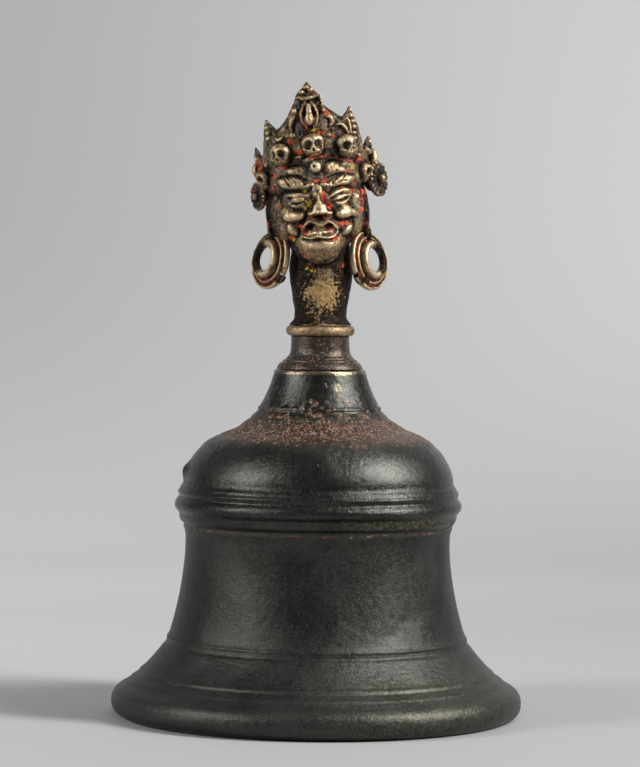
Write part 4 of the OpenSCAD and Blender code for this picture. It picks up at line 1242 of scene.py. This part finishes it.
crown_clay.lump(1.0, 50.2, 0.8, (1.15, 1.4, 3.6))  # the jewel
crown_clay.lump(1.0, 48.6, 1.0, (1.6, 1.6, 2.2))
crown_clay.lump(89, 34.4, 1.3, (1.5, 1.7, 3.1))  # the swollen feet of the outer leaves
crown_clay.lump(-89, 33.6, 0.7, (1.4, 1.4, 2.6))
CROWN_ROLLS = [
    # how far out, flatness, places as turn, height, radius
    (0.4, 1.0, [(-1.4, 54.2, 0.3), (-4.4, 52.8, 0.6), (-6.6, 50.4, 0.75), (-6.2, 47.9, 0.75),
                (-3.8, 46.4, 0.45), (-2.4, 46.0, 0.3)]),  # petals beside the jewel
    (0.4, 1.0, [(3.4, 54.2, 0.3), (6.2, 52.8, 0.6), (8.6, 50.6, 0.75), (8.4, 48.0, 0.75),
                (6.0, 46.4, 0.45), (4.6, 46.0, 0.3)]),
    (0.4, 1.0, [(-10.2, 56.0, 0.5), (-3, 55.3, 0.65), (4, 55.5, 0.65), (13.6, 56.0, 0.5)]),
    (0.3, 1.0, [(-15.2, 49.6, 0.4), (-17.6, 48.4, 0.85), (-19.6, 46.6, 0.75), (-18.6, 45.2, 0.4)]),
    (0.3, 1.0, [(19.0, 48.8, 0.4), (22.6, 48.6, 0.75), (25.0, 47.0, 0.8), (22.6, 45.9, 0.55)]),
    (0.2, 1.0, [(-30.0, 43.6, 0.4), (-34.0, 42.6, 0.7), (-38.6, 43.0, 0.6)]),
    (0.2, 1.0, [(30.0, 45.8, 0.45), (35.4, 46.0, 0.7), (41.0, 44.4, 0.7), (44.0, 42.4, 0.5)]),
    (0.2, 1.0, [(45.0, 47.6, 0.45), (47.0, 45.4, 0.7), (48.0, 43.0, 0.6)]),
    (0.2, 1.0, [(-84, 38.6, 0.6), (-79.5, 37.2, 0.8), (-84, 35.4, 0.75), (-90, 36.2, 0.5)]),
    (0.2, 1.0, [(82, 39.6, 0.5), (87.5, 37.8, 0.8), (83, 36.0, 0.75), (78.6, 37.0, 0.5)]),
    (0.2, 1.0, [(94, 34.6, 0.5), (98.5, 32.8, 0.7), (93, 31.2, 0.6)]),
    (0.2, 1.0, [(-94, 34.6, 0.5), (-98.5, 32.8, 0.7), (-93, 31.2, 0.6)]),
]
for out, flat, path in CROWN_ROLLS:
    scaled = [(turn / DEGREES_PER_MM, z, r) for turn, z, r in path]
    for arc, z, thick in smooth_path(scaled):
        place, axes = on_crown(arc * DEGREES_PER_MM, z, out)
        crown_clay.ball(place, (thick, thick * flat, thick), axes=axes)
TIP_BEADS = [
    # turn, height, half width, half height
    (-51.0, 48.9, 0.8, 0.8), (-50.5, 47.2, 1.2, 0.8), (-50.5, 45.4, 1.4, 0.8),
    (-50.0, 43.5, 1.3, 0.8), (50.5, 50.4, 0.9, 0.85), (51.5, 48.6, 1.3, 0.8),
    (53.0, 46.7, 1.4, 0.85), (54.5, 44.8, 1.4, 0.85), (55.5, 42.8, 1.3, 0.8),
    (56.0, 41.0, 1.1, 0.7), (0.0, 59.0, 1.1, 0.75), (4.6, 58.2, 1.0, 0.8), (-4.4, 57.6, 0.8, 0.7),
    (-13.6, 51.6, 0.9, 0.8), (14.0, 55.2, 0.65, 0.8), (15.4, 53.0, 0.6, 0.8),
    (16.2, 51.0, 0.55, 0.7), (-18.4, 43.6, 0.8, 0.9), (-17.4, 36.3, 1.0, 0.6),
    (-13.4, 36.2, 0.7, 0.55), (20.5, 42.6, 0.8, 0.7), (-62, 34.6, 0.9, 0.9),
    (61, 35.2, 0.9, 0.9), (-86, 32.6, 0.9, 0.9), (88, 32.8, 0.9, 0.9),
]
for turn, z, wide, high in TIP_BEADS:
    crown_clay.lump(turn, z, 0.1, (wide, 0.8, high), fine=3)

diadem = fuse(crown_clay, "diadem_cast", 0.25, 1)
print("diadem fused:", len(diadem.data.polygons) * 2, "triangles")

# %% Cut the sockets and the edges of the leaves
points, out = places(diadem.data), directions(diadem.data)
turned_to = np.degrees(np.arctan2(points[:, 0], -(points[:, 1] - CROWN_BACK)))
unrolled = np.stack([np.radians(turned_to) * CROWN_RADIUS, points[:, 2]], 1)
beyond = np.hypot(points[:, 0], points[:, 1] - CROWN_BACK)
facing = out[:, 0] * points[:, 0] + out[:, 1] * (points[:, 1] - CROWN_BACK)
facing = held(facing / beyond * 2)
sockets, mouths = [], []
for turn, z, size in SKULLS:
    arc = math.radians(turn) * CROWN_RADIUS
    for side in (-1, 1):
        sockets.append((arc + side * 0.40 * size, z + 0.08 * size,
                        0.36 * size, 0.42 * size, 0.36 * size))
    sockets.append((arc, z - 0.40 * size, 0.12 * size, 0.16 * size, 0.12 * size))
    mouths.append((0.2, 0.25, [(arc + side * 0.34 * size, z - 0.72 * size) for side in (-1, 1)]))
outer_skin = facing * (beyond > CROWN_RADIUS + 1.2)
sunk = hollows(unrolled, outer_skin, sockets)
sunk = np.maximum(sunk, cut_lines(unrolled, outer_skin, mouths))
sunk += 0.24 * held(-wander(points, 1.1, 41)) - 0.25 * wander(points, 3.0, 42)
move_to(diadem.data, points - out * sunk[:, None])
read_relief(diadem.data)
foot_dark = held(1 - (points[:, 2] - 28.5 - 6.5 * np.cos(np.radians(turned_to))) / 4)
edge_dark = held(1.3 - (np.interp(turned_to, *zip(*CROWN_TOP)) - points[:, 2]) / 1.3)
for turn, z, wide, high in TIP_BEADS:
    arc = math.radians(turn) * CROWN_RADIUS
    edge_dark *= 1 - np.exp(-((unrolled[:, 0] - arc) / 1.1) ** 2 - ((points[:, 2] - z) / 1.0) ** 2)
CROWN_YELLOW = [(-7.7, 43.6, 0.7, 0.7), (1.9, 45.0, 1.0, 0.6), (12.1, 35.4, 0.7, 0.6)]
CROWN_RED = [
    # x, z, half width, half height
    (-6.4, 41.2, 1.7, 0.9), (-4.5, 38.1, 2.0, 1.0), (3.4, 43.5, 1.5, 0.7), (7.2, 42.5, 1.2, 0.7),
    (3.1, 57.9, 0.7, 0.7), (-1.1, 45.6, 0.8, 0.7), (-18.9, 36.1, 0.9, 0.9), (-12.2, 32.0, 1.6, 1.0),
    (-10.8, 33.2, 1.0, 0.8), (4.0, 35.4, 2.0, 0.7), (9.9, 33.9, 1.6, 0.7), (12.6, 33.7, 1.0, 0.6),
    (6.1, 50.0, 0.7, 0.7), (-18.0, 34.0, 1.0, 0.9), (0.0, 35.7, 1.2, 0.6), (16.1, 33.9, 0.9, 0.8),
]
seen = points[:, [0, 2]]
red_there = spots(seen, facing, CROWN_RED, 0.03)
yellow_there = spots(seen, facing, CROWN_YELLOW, -0.1)
diadem.data.transform(HEAD)
dress(diadem, worn_brass("worn_brass_diadem", worn=0.06), "diadem",
      red=red_there, yellow=yellow_there,
      gild=-0.35 * (1 - facing) - 0.45 * foot_dark - 0.8 * edge_dark - 0.06)

# %% [markdown]
# ## Rosettes at the temples
# A ribbon is tied behind each ear and its knot stands out like a small flower: a ribbed disc
# with a scalloped rim about a boss. A disc and nine petals are pressed first, and the grooves are
# cut after. The right one is larger and sits a little higher than the left.
# %% Press the rosettes
KNOT_AT, KNOT_TURN, PETALS = (20.0, 2.3, 25.8), 62, 9
KNOT_SHIFT = 1.0
KNOT_RIGHT_SIZE, KNOT_LEFT_SIZE = 1.27, 1.02


def one_of_two(name, side):
    """The name of the left or the right one of a pair."""
    return name + ("_left" if side < 0 else "_right")


def rosette(side):
    """One ribbon knot, pressed in its own frame and then put at the temple."""
    clay = Clay(None)
    clay.ball((0, 0, -1.2), (3.2, 3.2, 2.4), fine=3)
    clay.ball((0, 0, 1.5), (1.3, 1.3, 1.4), fine=3)
    clay.ball((0, 0, 0.25), (4.8, 4.8, 1.0), fine=4)
    for petal in range(PETALS):
        turn = 360 / PETALS * petal + 12 * side
        spin_by = Matrix.Rotation(math.radians(turn), 3, "Z")
        clay.ball(spin_by @ Vector((2.6, 0, 0.3)), (1.8, 1.1, 1.1), (0, -20, 0), spin_by, 3)
        clay.ball(spin_by @ Vector((4.0, 0, 0.7)), (1.0, 1.5, 0.7), (0, -20, 0), spin_by, 2)
    name = one_of_two("rosette", side)
    piece = fuse(clay, name + "_cast", 0.2, 1)
    points, out = places(piece.data), directions(piece.data)
    around = np.degrees(np.arctan2(points[:, 1], points[:, 0])) - 12 * side
    beyond = np.hypot(points[:, 0], points[:, 1])
    across = np.abs((around / (360 / PETALS) + 0.5) % 1 - 0.5) * 2 * math.pi * beyond / PETALS
    ribs = np.exp(-(across / 0.26) ** 2) * (beyond > 1.7) * (out[:, 2] > 0)
    ribs += 0.8 * np.exp(-((beyond - 1.75) / 0.25) ** 2) * (out[:, 2] > 0)
    move_to(piece.data, points - out * (0.36 * ribs + 0.06 * wander(points, 1.4, 51))[:, None])
    read_relief(piece.data)
    out_x, back_y, up_z = KNOT_AT
    piece.data.transform(Matrix.Scale(KNOT_RIGHT_SIZE if side > 0 else KNOT_LEFT_SIZE, 4))
    piece.data.transform(
        HEAD @ Matrix.Translation((side * out_x + KNOT_SHIFT, back_y, up_z + side))
        @ turned_by(side * KNOT_TURN, "Z") @ turned_by(90, "X"))
    dress(piece, worn_brass("worn_brass_" + name, worn=-0.42), name, red=0.05)


for side in (-1, 1):
    rosette(side)

# %% [markdown]
# ## Earrings
# Each earring is a stepped ring: a thin outer bead, a groove, a ridge, a groove, and a fat inner
# bead round the hole. It is a turned shape again, then bent a little, and each has breaks where
# the brass failed to fill the mould.
# %% Spin the earrings
RING_R = 10.2
RING_AT, RING_SPREAD, RING_SPLAY, RING_LEAN = (-0.5, -0.5, 1.1), 16.75, 55, 12
# turn, radius, half width in degrees, half thickness and depth of each break
LEFT_BREAKS = [(-38, 9.9, 12, 0.9, 1.5), (-30, 6.6, 14, 1.0, 1.2), (-16, 9.8, 7, 0.8, 0.7)]
RIGHT_BREAKS = [(-142, 9.9, 15, 0.9, 1.1), (-128, 8.0, 12, 0.8, 0.8), (-155, 9.7, 6, 0.8, 0.9)]
ring_outline = np.array([
    # radius, height along the ring's own axis
    (4.3, 1.1), (7.0, -0.5), (8.9, -1.6), (9.7, -1.4), (10.15, -0.7), (10.2, 0.0), (10.05, 0.55),
    (9.65, 0.8), (9.2, 0.62), (8.95, 0.3), (8.7, 0.25), (8.45, 0.6), (8.25, 1.15), (7.9, 1.45),
    (7.5, 1.35), (7.25, 0.95), (7.0, 0.85), (6.8, 1.15), (6.65, 1.9), (6.45, 2.6), (6.05, 3.15),
    (5.5, 3.4), (4.95, 3.25), (4.45, 2.85), (4.2, 2.35), (4.1, 1.7),
])


def earring(side):
    """One stepped ring hung beside the jaw."""
    name = one_of_two("earring", side)
    bm = spin(ring_outline, 210)
    long_edges = []
    for edge in bm.edges:
        first, second = (vertex.co for vertex in edge.verts)
        outward_step = abs(first.xy.length - second.xy.length)
        if (edge.calc_length() > 0.3 and outward_step > 0.15) or abs(first.z - second.z) > 0.2:
            long_edges.append(edge)
    bmesh.ops.subdivide_edges(bm, edges=long_edges, cuts=1, use_grid_fill=True)
    bmesh.ops.triangulate(bm, faces=[face for face in bm.faces if len(face.verts) > 4])
    piece = mesh_from(bm, name + "_cast")
    points = places(piece.data)
    angle = np.degrees(np.arctan2(points[:, 1], points[:, 0]))
    reach = np.hypot(points[:, 0], points[:, 1])
    points[:, 2] += 0.25 * np.cos(np.radians(angle * 2 + 40 * side)) * (reach / RING_R)
    points += 0.10 * np.stack([wander(points, 3.2, 61 + side)] * 3, 1) * np.stack(
        [points[:, 0] / reach, points[:, 1] / reach, np.ones(len(points))], 1)
    for turn, ring, wide, thick, depth in LEFT_BREAKS if side < 0 else RIGHT_BREAKS:
        gap = np.abs((angle - turn + 180) % 360 - 180) / wide
        bite = held(1.3 - gap**4 - ((reach - ring) / thick) ** 2) * (points[:, 2] > -0.9)
        points[:, 2] -= depth * bite
        shrink = 1 - 0.05 * bite * (reach > 9)
        points[:, 0] *= shrink
        points[:, 1] *= shrink
    move_to(piece.data, points)
    read_relief(piece.data)
    carry_front = np.clip(directions(piece.data)[:, 2], -1, 1)
    middle_x, middle_y, above_chin = RING_AT
    piece.data.transform(
        Matrix.Translation((middle_x + side * RING_SPREAD, middle_y, CHIN_Z + above_chin))
        @ turned_by(-side * RING_LEAN, "Y") @ turned_by(side * RING_SPLAY, "Z")
        @ turned_by(90, "X"))
    grooves = np.exp(-((reach - 8.7) / 0.35) ** 2) + np.exp(-((reach - 7.05) / 0.3) ** 2)
    outer_side = held(1.6 * side * np.cos(np.radians(angle)) + 0.2)
    hole_wall = held((6.2 - reach) / 0.5) * outer_side
    dress(piece, worn_brass("worn_brass_" + name, worn=-0.06), name,
          gild=(np.where(carry_front < -0.2, -0.6, 0.0) + 0.2 * wander(places(piece.data), 4, 66)
                - 1.9 * hole_wall - 0.5 * grooves),
          red=0.02 + 0.5 * grooves * (carry_front > 0))


for side in (-1, 1):
    earring(side)

for number in ("fine", "broad"):
    carry(collar.data, number, np.full(len(collar.data.vertices), 0.03))
dress(collar, worn_brass("worn_brass_collar", worn=0.28), "collar_ring",
      gild=0.22 * wander(places(collar.data), 4, 71))

# %% [markdown]
# ## Iron, lac and the clapper
# The parts inside are right as they stand, so they keep their solids and only get their finish.
# Forged iron is dark with a thin brown rust, lac is a dull resin, and the clapper's ball is
# bronze, bright in a belt where it strikes.
# %% Finish the inner parts


def forged_iron():
    f = Finish("forged_iron")
    scale = f.noise(130, 5, 0.65)
    rust = f.step(f.noise(260, 6, 0.7), 0.48, 0.66)
    base = f.blend(scale, colour(0.045, 0.042, 0.04), colour(0.12, 0.108, 0.096))
    base = f.blend(rust * 0.8, base, colour(0.17, 0.068, 0.026))
    normal = f.bump(f.noise(900, 3), 0.0001, 0.5, f.bump(f.cells(150), 0.0004, 0.35))
    return f.close(Base_Color=base, Metallic=f.step(rust, 0, 1, 0.85, 0.15),
                   Roughness=0.42 + rust * 0.35, Normal=normal)


def clapper_bronze():
    f = Finish("clapper_bronze")
    height = f.axis("Z")
    belt = f.step(height, 0.0085, 0.0125) * f.step(height, 0.0215, 0.0165)
    clouds = f.noise(180, 5)
    struck = f.step(belt * (clouds + 0.35), 0.35, 0.75)
    base = f.blend(clouds, colour(0.055, 0.045, 0.03), colour(0.14, 0.105, 0.06))
    base = f.blend(struck, base, colour(0.52, 0.39, 0.21))
    normal = f.bump(f.cells(520), 0.00025, 0.4, f.bump(f.noise(1200, 3), 0.00008, 0.4))
    return f.close(Base_Color=base, Metallic=0.9, Roughness=0.52 - struck * 0.24, Normal=normal)


def lac_core():
    f = Finish("lac_core")
    mottle = f.step(f.noise(240, 5), 0.4, 0.62)
    base = f.blend(mottle, colour(0.10, 0.045, 0.024), colour(0.26, 0.14, 0.08))
    return f.close(Base_Color=base, Roughness=0.55, Normal=f.bump(f.noise(500, 4), 0.0002, 0.5))


INNER = [(forged_iron, ["tang_rod", "rove_washer", "wedge_key", "stirrup",
                        "clapper_pin", "clapper_rod"]),
         (clapper_bronze, ["clapper_ball"]), (lac_core, ["core_packing"])]
for finish, names in INNER:
    material = finish()
    for name in names:
        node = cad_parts[name]
        node.data.materials.clear()
        node.data.materials.append(material)
print("inner parts finished:", sum(len(names) for _, names in INNER))
